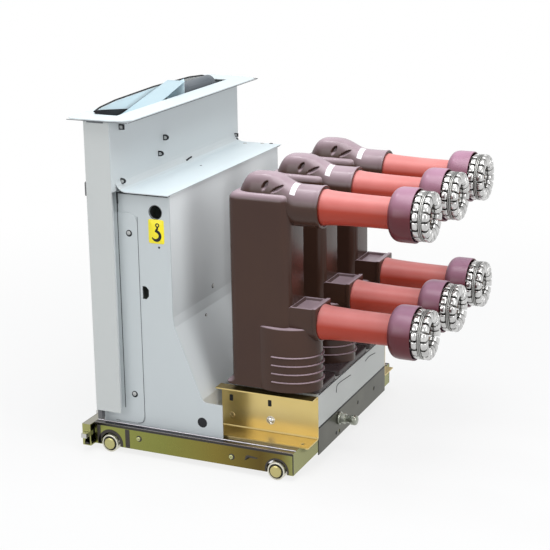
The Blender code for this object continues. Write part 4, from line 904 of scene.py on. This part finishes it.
def lifting_mark(mats):
    """A yellow plate with a hook drawn as a stem, an eye and three quarters of a ring."""
    face = SIDE_X + 0.7
    make("lifting_mark_plate", [plate(rect(75.5, 534, 116.5, 592, 5.0, 4), SIDE_X - 0.2, face, "x", 0.3)],
         mats["yellow"], "truck")
    turn = np.radians(np.linspace(205, 450, 30))
    bend = np.column_stack([np.full(30, face), 95 + 11.0 * np.cos(turn), 553 + 11.0 * np.sin(turn)])
    stem = np.array([(face, 95.5, 565.5), (face, 99.0, 570.0), (face, 99.5, 574.0)])
    width = np.interp(np.arange(33), (0, 10, 26, 32), (1.2, 4.0, 3.4, 2.2))
    path = np.vstack([bend, stem])
    step = np.gradient(path, axis=0)
    normal = np.column_stack([np.zeros(len(path)), -step[:, 2], step[:, 1]])
    normal *= (width / np.linalg.norm(normal, axis=1))[:, None]
    lift = np.array([0.35, 0, 0])
    rows = np.stack([path - normal, path - normal + lift, path + normal + lift, path + normal], axis=1)
    eye = turned([(5.4, face), (5.4, face + 0.35), (2.6, face + 0.35), (2.6, face)], (99.5, 578.5), "x", 32)
    make("lifting_mark_hook", [shell(rows), shell(eye, wrap_rows=True)], mats["dark"], "truck")


def lug(x, z, long, high, round_end=True):
    """A small tongue that stands out of the rear wall, with its inlay; its end is an arc, or square."""
    end = long if round_end else 0.0
    t = np.linspace(-math.pi / 2, math.pi / 2, 9)
    outline = [(-0.5, z - high)] + [(long - end * 0.6 + end * 0.6 * math.cos(a),
                                     z + high * math.sin(a)) for a in t]
    outline.append((-0.5, z + high))
    outline = np.array(outline)
    middle = np.array([long * 0.46, z])
    inlay = middle + (outline - middle) * 0.55
    return plate(outline, x - 2.5, x + 2.5, "x", 0.3), plate(inlay, x + 2.4, x + 3.0, "x", 0.2)


def back_wall_trim(mats):
    """The upper box's rear wall and the top sheet: tongues, nuts and small screws."""
    lugs = [lug(81.6, 739.0, 14.0, 7.0), lug(109.6, 704.0, 14.0, 6.5), lug(291.0, 803.0, 13.0, 6.5, False),
            lug(294.0, 674.5, 13.0, 6.5), lug(-313.6, 672.5, 11.0, 4.5, False),
            lug(-312.3, 654.5 + 6, 11.0, 4.5)]
    dark, light = [a for a, _ in lugs], [b for _, b in lugs]
    light.append(plate(rect(250, 664, 276, 672, 2.0, 2), -0.3, 0.7, "y"))
    dark += [disc((-2.0, 57.7, 655.0), "z", 1.0, 2.8, 0.5), disc((-317.0, 108.0, 655.0), "z", 1.0, 5.0,
                                                                 0.6)]
    light += [pan_screw((-310.0, 85.0, 655.0), "z", 1.0, 5.5, 1.6),
              pan_screw((-296.0, 40.0, 655.0), "z", 1.0, 5.5, 1.6)]
    dark.append(rod_along([(-48, 7.0, 664.5), (-34, 7.6, 663.6), (-16, 9.6, 661.8)], 2.0,
                          side=(0.0, 0.0, 1.0)))
    make("back_wall_clips", dark, mats["dark"], "truck")
    make("back_wall_nuts", light, mats["paint"], "truck")
    rear = np.column_stack([np.linspace(-344, 344, 40), np.full(40, 56.2), np.full(40, RIM_UNDERSIDE)])
    near = np.column_stack([np.full(30, 351.0), np.linspace(-104, 56, 30), np.full(30, RIM_UNDERSIDE)])
    edge_shades = [rod_along(rear, 0.9, 8, (0.0, 1.0, 0.0)), rod_along(near, 0.9, 8),
             rod_along(near * (-1, 1, 1), 0.9, 8)]
    make("rim_shade_lines", edge_shades, mats["line"], "truck")
    bar = plate(rect(-60, 817.5, -16, 821.5, 0.8, 2), RETURN_X - 0.2, RETURN_X + 0.5, "x", 0.2)
    make("return_slots", both_sides([bar]), mats["line"], "truck")


def rear_cover_trim(mats):
    """Small screws of the bent rear cover, each with a dark disc set off to one side and down: a painted
    shadow.
    """
    places = [(94.0, 132.0, 376.0), (153.0, 141.7, 317.0), (-94.0, 132.0, 376.0), (-153.0, 141.7, 317.0)]
    make("rear_cover_screws", [pan_screw(p, "y", 1.0, 4.4, 1.8) for p in places], mats["bright"], "truck")
    # Dark discs beside the screws: painted shadows.
    make("rear_cover_wells", [disc((x + 1.0, y, z - 0.8), "y", 1.0, 6.0, 0.4) for x, y, z in places],
         mats["dark"], "truck")


def bow(x):
    """Height of the tongue's bowed top edge at a distance from its middle."""
    return np.interp(np.abs(x), (0, 190, 264, 286), (850, 846, 840, 834))


def open_top(mats):
    """Inside the open top: the tongue's edging and lining, a dark plate as painted shade in the gap at its
    near end, the cable sheet.

    The sheet is a grid over run u and width v: its height grows with u to the power 1.15, leans down
    towards the rear at its low end, and bulges by a sine along its run.
    """
    x = np.linspace(-288, 288, 60)
    edge = np.column_stack([x, np.full(60, PANEL_Y + 1.0), bow(x) - 0.4])
    make("tongue_edging", [rod_along(edge, 1.9, 8, (0.0, 1.0, 0.0))], mats["dark"], "truck")
    x = np.linspace(-52, 274, 34)
    top = np.column_stack([x, bow(x) - 3.0])
    lining = np.vstack([[(274, 796), (-52, 796)], top])
    make("tongue_lining", [plate(lining, PANEL_Y + 2.1, PANEL_Y + 3.0, "y", 0.2)], mats["pale"], "truck")
    # A dark plate in the gap at the tongue's near end: painted shade.
    gap = plate([(286, 829), (286, 836), (262, 834), (139, 816), (139, 801), (200, 808)], PANEL_Y + 3.0,
                PANEL_Y + 4.0, "y", 0.2)
    make("tongue_end_gap", [gap], mats["dark"], "truck")
    run = np.linspace(0, 1, 24)
    across = np.linspace(0, 1, 8)
    u, v = np.meshgrid(run, across, indexing="ij")
    sx = 190 - 248 * u
    sy = -60 + 50 * v
    sz = 808 + 50 * u ** 1.15 - 12 * v * (1 - u) + 2.5 * np.sin(np.pi * u)
    skin = np.stack([sx, sy, sz], -1)
    below = skin - (0, 0, 1.2)
    loop = np.concatenate([skin, below[:, ::-1]], axis=1)
    make("cable_sheet", [shell(loop)], mats["sheet"], "truck")
    wall = [(-63.0, 792.0), (-9.0, 792.0), (-14.0, 818.0), (-14.0, 863.0), (-58.0, 842.0), (-66.0, 818.0)]
    floor = plate(rect(-286, -64.5, 240, -2.6), 789.6, 791.9, "z", 0.2)
    make("cable_tray", [plate(wall, -61.0, -59.0, "x", 0.3), floor], mats["pale"], "truck",
         ("inner_tray",))


def plug(mats):
    """The control plug: a round-backed hood swept along x with a raised band at each end, and its neck."""
    mid, floor_z, half = -36.0, 792.4, 24.6
    arch = [(mid + half * math.cos(t), 822.0 + half * math.sin(t)) for t in np.linspace(0.12,
                                                                                        math.pi - 0.12, 26)]
    outline = softened([(mid - half, floor_z), (mid + half, floor_z)] + arch, 1.5, 2, True)
    centre = np.array([mid, 812.0])
    stations = [(-241, 0.80), (-240, 0.88), (-236, 0.93), (-224, 0.94), (-223, 1.0), (-214, 1.0),
                (-213, 0.95), (-96, 0.95), (-95, 1.0), (-86, 1.0), (-85, 0.96), (-66, 0.97), (-63, 0.93),
                (-62, 0.85)]
    rows = []
    for x, k in stations:
        ring = centre + (outline - centre) * (k, k if k < 0.9 else 1.0)
        ring[:, 1] = np.maximum(ring[:, 1], floor_z)
        rows.append(np.column_stack([np.full(len(ring), x), ring]))
    neck = [(0.05, -262), (13.0, -262), (14.6, -260), (14.8, -252), (13.6, -250), (14.8, -248),
            (13.6, -246), (14.8, -244), (13.8, -240), (0.05, -238)]
    make("control_plug_hood", [shell(np.stack(rows)), shell(turned(neck, (mid, 816.0), "x", 40))],
         mats["plug"], "truck", ("control_plug",))


def panel_trim(mats):
    """The operator's side: bezels, window frame and pane, charging ring, screws, latches and clips."""
    ring_profile = [(12.8, 0.6), (13.4, -1.6), (15.5, -3.0), (18.0, -3.0), (19.4, -1.8), (19.6, 0.4)]
    rings = []
    for at, narrower in ((BUTTONS[0], 0.0), (BUTTONS[1], 0.0), (CHARGING_HOLE, 1.8)):
        profile = [(r - narrower, PANEL_Y + d) for r, d in ring_profile]
        rings.append(shell(turned(profile, at, "y", 56), wrap_rows=True))
    x, z = WINDOW
    outer, inner = (np.array(rect(x - a, z - b, x + a, z + b, 3.0, 4)) for a,
                    b in ((18.5, 13.5), (13.6, 8.6)))
    steps = ((outer, 0.3), (outer, -1.6), (outer * 0.8 + inner * 0.2, -2.4), (inner, -2.4), (inner, 0.3))
    rows = [np.column_stack([p[:, 0], np.full(len(p), PANEL_Y + d), p[:, 1]]) for p, d in steps]
    rings.append(shell(np.stack(rows), wrap_rows=True))
    make("panel_bezels", rings, mats["dark"], "truck")
    pane = plate(rect(x - 13.7, z - 8.7, x + 13.7, z + 8.7, 1.0, 2), PANEL_Y + 0.3, PANEL_Y + 1.6, "y", 0.2)
    make("window_pane", [pane], mats["clear"], "truck")
    screws = [pan_screw((x, PANEL_Y, z), "y", -1.0, 5.0, 2.4) for x, z in PANEL_SCREWS]
    make("panel_screws", screws, mats["bright"], "truck")
    latch = plate(rect(326, 641, 335.5, 675, 3.0, 4), PANEL_Y - 4.5, PANEL_Y, "y", 1.0)
    foot = plate(rect(-68.0, 84.0, -57.0, 110.0, 2.0, 3), 318.0, 333.0, "x", 0.6)
    make("panel_latches", both_sides([latch]), mats["shade"], "truck")
    make("panel_foot_clips", both_sides([foot]), mats["shade"], "truck")


def channel_trim(mats):
    """The truck's side channels: dark bands as painted shade along the rolled top edge and down the rear
    corner, with a painted highlight on their tops, a pale rod as a painted highlight at the inner bend, dark
    plates as painted shade in the wheel windows, the slots, a mark ahead of the rear wheel and beside the
    screws, and the screws.
    """
    y = np.linspace(-84, 445.6, 40)
    line = np.full(40, 1.0)
    # A dark band on the face below the top edge, a rod along the edge and one down the rear corner: painted
    # shade, with a painted highlight on their tops.
    edge_shades = [plate(rect(-83.8, 64.2, 445.4, 69.6, 1.5, 2), CHANNEL_X - 0.4, CHANNEL_X + 0.5, "x", 0.2),
             rod_along(np.column_stack([line * (CHANNEL_X - 1.6), y, line * 68.6]), 1.8, 12),
             rod_along([(CHANNEL_X - 1.2, 445.0, 18), (CHANNEL_X - 1.2, 445.0, 42),
                        (CHANNEL_X - 1.2, 445.0, 67)], 1.5)]
    face = (CHANNEL_X - 0.4, CHANNEL_X + 0.5)
    # Dark plates in the slots, round the wheels, in a mark ahead of the rear wheel and beside each screw:
    # painted shade.
    dark = [plate(rect(-77.0, 16.0, -68.0, 66.0, 1.5, 2), *face, "x", 0.3),
            plate(rect(1.0, 16.0, 13.0, 63.0, 1.5, 2), *face, "x", 0.3)]
    t = np.radians(np.linspace(-11, 191, 40))
    for end, reach in (("front", 34.0), ("rear", 30.5)):
        arc_in, arc_out = (np.column_stack([WHEELS[end] + r * np.cos(t), WHEEL_Z + r * np.sin(t)])
                           for r in (26.4, reach))
        corners = ((arc_in, face[0]), (arc_in, face[1]), (arc_out, face[1]), (arc_out, face[0]))
        rows = [np.column_stack([np.full(40, x), p]) for p, x in corners]
        dark.append(shell(np.stack(rows, axis=1)))
    mark = [(321.5, 34.0), (325.0, 46.5), (331.0, 49.0), (357.0, 45.5), (352.0, 43.0), (331.0, 44.0)]
    dark.append(plate(mark, *face, "x", 0.2))
    for y0, z0 in CHANNEL_SCREWS:
        dark.append(disc((CHANNEL_X, y0 + 1.6, z0 + 0.6), "x", 1.0, 7.6, 0.5))
    heads = [pan_screw((CHANNEL_X + 0.3, y0, z0), "x", 1.0, 5.6, 2.8) for y0, z0 in CHANNEL_SCREWS]
    # A pale rod along the inner bend of the top flange: a painted highlight.
    shine = rod_along(np.column_stack([line * 308.5, y, line * 70.6]), 1.3, 8)
    make("channel_bend_lines", both_sides([shine]), mats["pale_line"], "truck")
    make("channel_rolled_edges", both_sides(edge_shades), mats["edge_shade_and_sheen"], "truck")
    make("channel_windows", both_sides(dark), mats["brown_shade"], "truck")
    make("channel_screws", both_sides(heads), mats["olive"], "truck")


def rollers(mats):
    """Wheels: a turned rim with a recessed face, a black seal ring, and a domed cap over the axle's head."""
    rim = [(6.4, 310.0), (20.6, 310.0), (21.6, 310.5), (22.0, 311.6), (22.0, 328.2), (21.5, 329.4),
           (20.4, 330.0), (18.6, 330.0), (18.1, 329.5), (17.9, 327.0), (6.4, 327.0)]
    seal = [(13.8, 326.6), (18.0, 326.6), (18.0, 328.4), (16.8, 329.0), (15.0, 329.0), (13.8, 328.4)]
    cap = [(0.05, 326.4), (14.2, 326.4), (14.5, 330.8), (14.0, 332.2), (12.0, 333.3), (7.0, 334.0),
           (0.05, 334.2)]
    for end, wheel_y in WHEELS.items():
        caps = []
        for side, sign in (("right", 1.0), ("left", -1.0)):
            body = f"wheel_{end}_{side}"
            for name, profile, mat, replaced in (("rim", rim, "rim", (body,)), ("seal", seal, "black", ())):
                rows = turned([(r, x * sign) for r, x in profile], (wheel_y, WHEEL_Z), "x", 56)
                make(f"wheel_{name}_{end}_{side}", [shell(rows, wrap_rows=True)], mats[mat], body,
                     replaced)
            caps.append(shell(turned([(r, x * sign) for r, x in cap], (wheel_y, WHEEL_Z), "x", 56)))
        make(f"axle_caps_{end}", caps, mats["cap_gold"], "truck")


def foot_trim(mats):
    """Brackets, tray and rear plate: screws, and painted shade in black: a shadow line at the seam below the
    tray's rear wall, a line along its top edge, its pressed outlines and the holes in the rear plate.
    """
    heads = [disc((BRACKET_X, 346.5, 102.0), "x", 1.0, 11.0, 1.4),
             pan_screw((BRACKET_X + 1.2, 346.5, 102.5), "x", 1.0, 8.6, 5.0)]
    make("bracket_screws", both_sides(heads), mats["white_zinc"], "truck")
    faint = [pan_screw((BRACKET_X, 244.0, 100.5), "x", 1.0, 8.0, 1.8)]
    make("bracket_rivets", both_sides(faint), mats["gold"], "truck")
    slots = [plate(rect(y - 4.6, 137.0, y + 4.6, 153.0, 2.0, 3), BRACKET_X - 0.3, BRACKET_X + 0.4, "x", 0.2)
             for y in (243.0, 344.5)]
    make("bracket_slot_shades", both_sides(slots), mats["dark"], "truck")
    # Black strips at the seam below the tray's rear wall and along its top edge: painted shadow lines.
    seam_shadow = plate(rect(-225.5, 97.2, 225.5, 101.0), TRAY_REAR - 0.2, TRAY_REAR + 0.7, "y", 0.2)
    band = plate(rect(-225.5, 180.6, 225.5, 183.2), TRAY_REAR - 0.2, TRAY_REAR + 0.6, "y", 0.2)
    # Black lines on the pressed outlines and black discs over the rear plate's holes: painted shade.
    marks = [rod_along([(x, TRAY_REAR + 0.2, z) for x, z in softened(path, 12.0, 6)], 0.9, 8,
                       (0.0, 1.0, 0.0))
             for path in (((114, 148), (112, 166), (84, 166), (19, 160)),
                          ((-81, 162), (-110, 166), (-153, 160)))]
    hole_shades = [disc((x, TRAY_REAR + 0.1, z), "y", 1.0, 4.6, 0.3) for x,
             z in ((-145.1, 66.6), (-30.5, 69.5), (114.8, 44.0))]
    make("tray_seams", [seam_shadow, band] + marks + hole_shades, mats["black"], "truck")


def earthing_stud(mats):
    """The earthing contact turned round y: flange, hexagon, waisted pin and rounded head."""
    x, z, y = 96.4, 76.0, TRAY_REAR + 0.3
    flange = [(0.05, y), (15.4, y), (16.0, y + 0.8), (16.0, y + 3.6), (15.2, y + 4.6), (0.05, y + 4.8)]
    pin = [(0.05, y + 4), (9.0, y + 4), (9.0, y + 29), (9.6, y + 30.4), (12.0, y + 32.0), (12.5, y + 34.0),
           (12.5, y + 42.0), (11.6, y + 44.6), (9.0, y + 47.0), (5.0, y + 47.9), (0.05, y + 48.0)]
    parts = [shell(turned(profile, (x, z), "y", 56)) for profile in (flange, pin)]
    parts.append(hex_head((x, y + 4.4, z), "y", 1.0, 12.4, 12.6))
    make("earthing_stud", parts, mats["stud"], "truck", ("earth_contact",))


def beam_trim(mats):
    """The racking beam: dark plates as painted shade in the arched recesses of its end plates and along its
    rolled top edge, and the screws of its guides.
    """
    t = np.radians(np.linspace(90, 180, 14))
    arch = [(-87.0, 17.0)] + [(-87.0 + 15.0 * math.cos(a), 17.0 + 26.0 * math.sin(a)) for a in t]
    # Dark arches and a dark rod along the top edge: painted shade.
    ends = plate(arch, 344.6, 345.0, "x", 0.1)
    x = np.linspace(-344, 344, 30)
    edge = rod_along(np.column_stack([x, np.full(30, -105.8), np.full(30, 69.0)]), 1.2, 8, (0.0, 0.0, 1.0))
    make("beam_end_arches", both_sides([ends]) + [edge], mats["brown_shade"], "beam")
    heads = [hex_head((s * x, -107.0, z), "y", -1.0, 4.6, 3.2)
             for x in (195.0, 30.0) for s in (-1, 1) for z in (26.0, 60.0)]
    make("beam_bolts", heads, mats["bright"], "beam")


# Everything put together

bpy.context.scene.view_settings.view_transform = "Standard"
place_camera()
studio()

CLOUDY = cloudy_group()
GRAIN = grain_group()
DUST_AND_SHEEN = dust_and_sheen_group()

MATS = {
    # Cast epoxy: the lilac on its up-facing faces is a painted sheen, the glossy resin's reflection of a
    # bright sky.
    "epoxy": finish_of("cast_epoxy", (0.056, 0.027, 0.018), (0.040, 0.018, 0.016), 0.24, specular=0.26,
                       grain=220.0, depth=0.00006, dust=0.90, dust_colour=(0.47, 0.36, 0.41),
                       dust_start=0.16),
    # Red silicone: the pink on its up-facing faces is a painted sheen.
    "silicone": finish_of("red_silicone", (0.37, 0.042, 0.022), (0.30, 0.034, 0.020), 0.38, specular=0.3,
                          grain=260.0, depth=0.00005, dust=0.80, dust_colour=(0.78, 0.31, 0.30),
                          dust_start=0.05),
    # Mauve caps: the lilac on their up-facing faces is a painted sheen.
    "mauve": finish_of("mauve_cap", (0.102, 0.018, 0.024), (0.082, 0.015, 0.020), 0.30, specular=0.3,
                       grain=240.0, depth=0.00005, dust=0.92, dust_colour=(0.47, 0.26, 0.37),
                       dust_start=0.10),
    "silver": plated("silver_plate", (0.72, 0.72, 0.71), (0.34, 0.335, 0.33), 0.24, grain=500.0,
                     depth=0.00002, drift=0.8, speck=0.4, scale=34.0, dust=0.0),
    "spring_steel": plated("spring_wire", (0.40, 0.40, 0.39), (0.25, 0.25, 0.24), 0.30, dust=0.0),
    "bright": plated("bright_zinc", (0.62, 0.62, 0.61), (0.45, 0.44, 0.42), 0.30),
    "white_zinc": plated("white_zinc", (0.74, 0.74, 0.72), (0.52, 0.51, 0.50), 0.28),
    # Dark: real dark parts such as the hook print, clips and bezels, and painted shade in gaps, holes and
    # round screws.
    "dark": finish_of("dark_parts_and_painted_shade", (0.020, 0.021, 0.024), (0.030, 0.030, 0.032), 0.60, specular=0.15,
                      dust=0.02),
    # Black: the wheel seals' rubber, and painted shade in the tray's lines and holes.
    "black": finish_of("black_rubber_and_painted_shade", (0.016, 0.016, 0.017), (0.026, 0.026, 0.026), 0.55, specular=0.25,
                       dust=0.03),
    # Rolled edges: the near black is painted shade, and the lilac on their up-facing faces a painted
    # highlight.
    "edge_shade_and_sheen": finish_of("rolled_edge_shade", (0.020, 0.018, 0.020), (0.040, 0.036, 0.034), 0.22,
                             metallic=0.4, dust=0.9, dust_colour=(0.42, 0.38, 0.44), dust_start=0.72),
    "brown_shade": finish_of("brown_shade", (0.050, 0.042, 0.036), (0.030, 0.026, 0.024), 0.45,
                             specular=0.3, dust=0.0),
    "shade": finish_of("grey_shade", (0.13, 0.13, 0.135), (0.10, 0.10, 0.105), 0.50, dust=0.1),
    "yellow": finish_of("yellow_film", (0.93, 0.80, 0.02), (0.88, 0.72, 0.02), 0.35, dust=0.02, drift=0.4),
    "paint": finish_of("fastener_paint", (0.50, 0.51, 0.50), (0.36, 0.36, 0.36), 0.42, metallic=0.3,
                       dust=0.1),
    "pale": finish_of("pale_liner", (0.66, 0.79, 0.84), (0.60, 0.73, 0.79), 0.38, dust=0.05),
    "sheet": finish_of("cable_sheet_film", (0.40, 0.52, 0.57), (0.32, 0.44, 0.50), 0.45, dust=0.05,
                       drift=0.7, scale=9.0),
    # Hood plastic: the lighter blue-grey on its up-facing faces is a painted highlight.
    "plug": finish_of("hood_plastic", (0.060, 0.072, 0.084), (0.045, 0.055, 0.066), 0.40, grain=700.0,
                      depth=0.00008, dust=0.3, dust_colour=(0.17, 0.20, 0.23), dust_start=0.3),
    "olive": plated("olive_zinc", (0.42, 0.43, 0.22), (0.30, 0.30, 0.15), 0.28),
    "rim": finish_of("roller_rim", (0.72, 0.70, 0.60), (0.52, 0.50, 0.40), 0.28, metallic=0.8, dust=0.05),
    "cap_gold": finish_of("axle_cap_chromate", (0.52, 0.45, 0.19), (0.40, 0.42, 0.20), 0.28, metallic=0.9,
                          dust=0.0, scale=14.0, drift=0.9),
    # Foot plates: the cast epoxy made darker as painted shade, with a faint painted sheen on top.
    "foot_epoxy": finish_of("cast_epoxy_foot_painted_shade", (0.030, 0.019, 0.018), (0.024, 0.015, 0.014), 0.24,
                            specular=0.28, grain=220.0, depth=0.00006, dust=0.08,
                            dust_colour=(0.30, 0.24, 0.28)),
    "grey": finish_of("return_powder", (0.62, 0.65, 0.66), (0.58, 0.61, 0.62), 0.46, grain=520.0,
                      dust=0.05),
    "pale_line": finish_of("bend_highlight", (0.62, 0.60, 0.64), (0.52, 0.50, 0.54), 0.30, metallic=0.5,
                           dust=0.0),
    "line": finish_of("edge_shade", (0.16, 0.17, 0.18), (0.12, 0.13, 0.14), 0.55, specular=0.2, dust=0.0),
    "stud": plated("stud_zinc", (0.52, 0.54, 0.48), (0.16, 0.17, 0.13), 0.30, drift=1.0, scale=45.0,
                   speck=0.3),
    # White of the strip on each neck: a painted highlight.
    "tag": finish_of("painted_neck_highlight", (0.86, 0.82, 0.84), (0.80, 0.76, 0.79), 0.40, dust=0.0),
    "gold": finish_of("gold_rivet", (0.66, 0.52, 0.26), (0.50, 0.38, 0.18), 0.30, metallic=0.9, dust=0.05),
}

clear = finish_of("clear_pane", (0.95, 0.97, 0.97), (0.90, 0.93, 0.93), 0.06, dust=0.0)
clear.node_tree.nodes["Principled BSDF"].inputs["Transmission Weight"].default_value = 0.9
MATS["clear"] = clear

for build in (poles, sleeves, collars, tulips, side_trim, lifting_mark, back_wall_trim, rear_cover_trim,
              open_top, plug, panel_trim, channel_trim, rollers, foot_trim, earthing_stud, beam_trim):
    build(MATS)

NODE_FINISH = {
    # Chassis chromate: the near black on up-facing faces, the top flange, is a painted dark reflection.
    "zinc_chromate": plated("olive_chromate", (0.36, 0.37, 0.15), (0.30, 0.27, 0.10), 0.26, grain=420.0,
                            drift=0.8, scale=5.0, speck=0.2, dust=1.0, dust_start=0.9,
                            dust_colour=(0.060, 0.056, 0.065), recolour=channel_colours),
    # Beam chromate: the pale lilac on up-facing faces is a painted highlight.
    "beam_zinc": plated("beam_chromate", (0.38, 0.40, 0.16), (0.30, 0.28, 0.11), 0.30, grain=420.0,
                        drift=0.7, scale=6.0, speck=0.2, dust=0.75, dust_start=0.9,
                        dust_colour=(0.48, 0.46, 0.46)),
    "grey_paint": powder("grey_powder", (0.54, 0.58, 0.59), (0.51, 0.55, 0.57), 0.46),
    # Rear cover powder: lighter at the top and darker below, painted light and painted shade.
    "cover_paint": powder("cover_powder", (0.55, 0.58, 0.59), (0.52, 0.55, 0.57), 0.46,
                          recolour=cover_shade_ramp),
    # Upper box powder: the pale blue-white on up-facing faces is painted light from above.
    "box_paint": powder("box_powder", (0.58, 0.62, 0.63), (0.55, 0.59, 0.61), 0.42, dust=0.6,
                        dust_colour=(0.66, 0.76, 0.80), dust_start=0.7),
    "panel_paint": powder("panel_powder", (0.55, 0.57, 0.56), (0.52, 0.54, 0.54), 0.45),
    "pole_tray_paint": powder("tray_powder", (0.50, 0.52, 0.50), (0.46, 0.48, 0.47), 0.45, dust=0.08),
    # Bracket chromate: the darker brown on up-facing faces is a painted reflection.
    "gold_chromate": finish_of("gold_chromate_plate", (0.68, 0.52, 0.19), (0.78, 0.64, 0.32), 0.30,
                               metallic=0.9, grain=420.0, drift=0.9, scale=5.0, speck=0.2, dust=0.7,
                               dust_start=0.8, dust_colour=(0.22, 0.15, 0.04), stretch=(1.0, 0.5, 1.0)),
    "rear_zinc": finish_of("rear_chromate", (0.060, 0.060, 0.048), (0.150, 0.150, 0.118), 0.32,
                           metallic=0.8, grain=420.0, drift=0.7, scale=6.0, dust=0.05),
    "bolt_steel": plated("bolt_zinc", (0.60, 0.60, 0.58), (0.44, 0.43, 0.40), 0.32, dust=0.08),
    "screw_steel": plated("ground_steel", (0.56, 0.55, 0.53), (0.40, 0.39, 0.37), 0.28,
                          stretch=(1.0, 8.0, 1.0)),
    "bottle_ceramic": finish_of("glazed_ceramic", (0.80, 0.79, 0.74), (0.72, 0.71, 0.66), 0.22, coat=0.5,
                                dust=0.02),
    "rod_resin": finish_of("moulded_resin", (0.40, 0.15, 0.08), (0.32, 0.11, 0.06), 0.34, dust=0.05,
                           grain=260.0),
    "shaft_steel": plated("shaft_zinc", (0.58, 0.58, 0.56), (0.42, 0.41, 0.38), 0.34, dust=0.10),
    "motor_paint": finish_of("motor_enamel", (0.075, 0.078, 0.084), (0.050, 0.052, 0.056), 0.42, dust=0.15),
    "charge_steel": plated("charging_shaft_steel", (0.60, 0.59, 0.57), (0.42, 0.41, 0.39), 0.26, dust=0.02),
    "close_button_plastic": finish_of("green_button", (0.03, 0.34, 0.09), (0.02, 0.27, 0.07), 0.30,
                                      coat=0.2, dust=0.03),
    "open_button_plastic": finish_of("red_button", (0.56, 0.030, 0.022), (0.46, 0.022, 0.018), 0.30,
                                     coat=0.2, dust=0.03),
    "flag_plastic": finish_of("flag_drum", (0.04, 0.30, 0.12), (0.03, 0.24, 0.10), 0.42, dust=0.02),
    "arm_copper": plated("plated_copper", (0.74, 0.60, 0.50), (0.62, 0.40, 0.28), 0.30, dust=0.02,
                         drift=0.6, scale=12.0),
}

for node in bpy.data.objects:
    if node.type != "MESH" or node.name not in frame["nodes"]:
        continue
    for used in node.material_slots:
        base = used.material.name.split(".")[0] if used.material else ""
        if base in NODE_FINISH:
            used.material = NODE_FINISH[base]
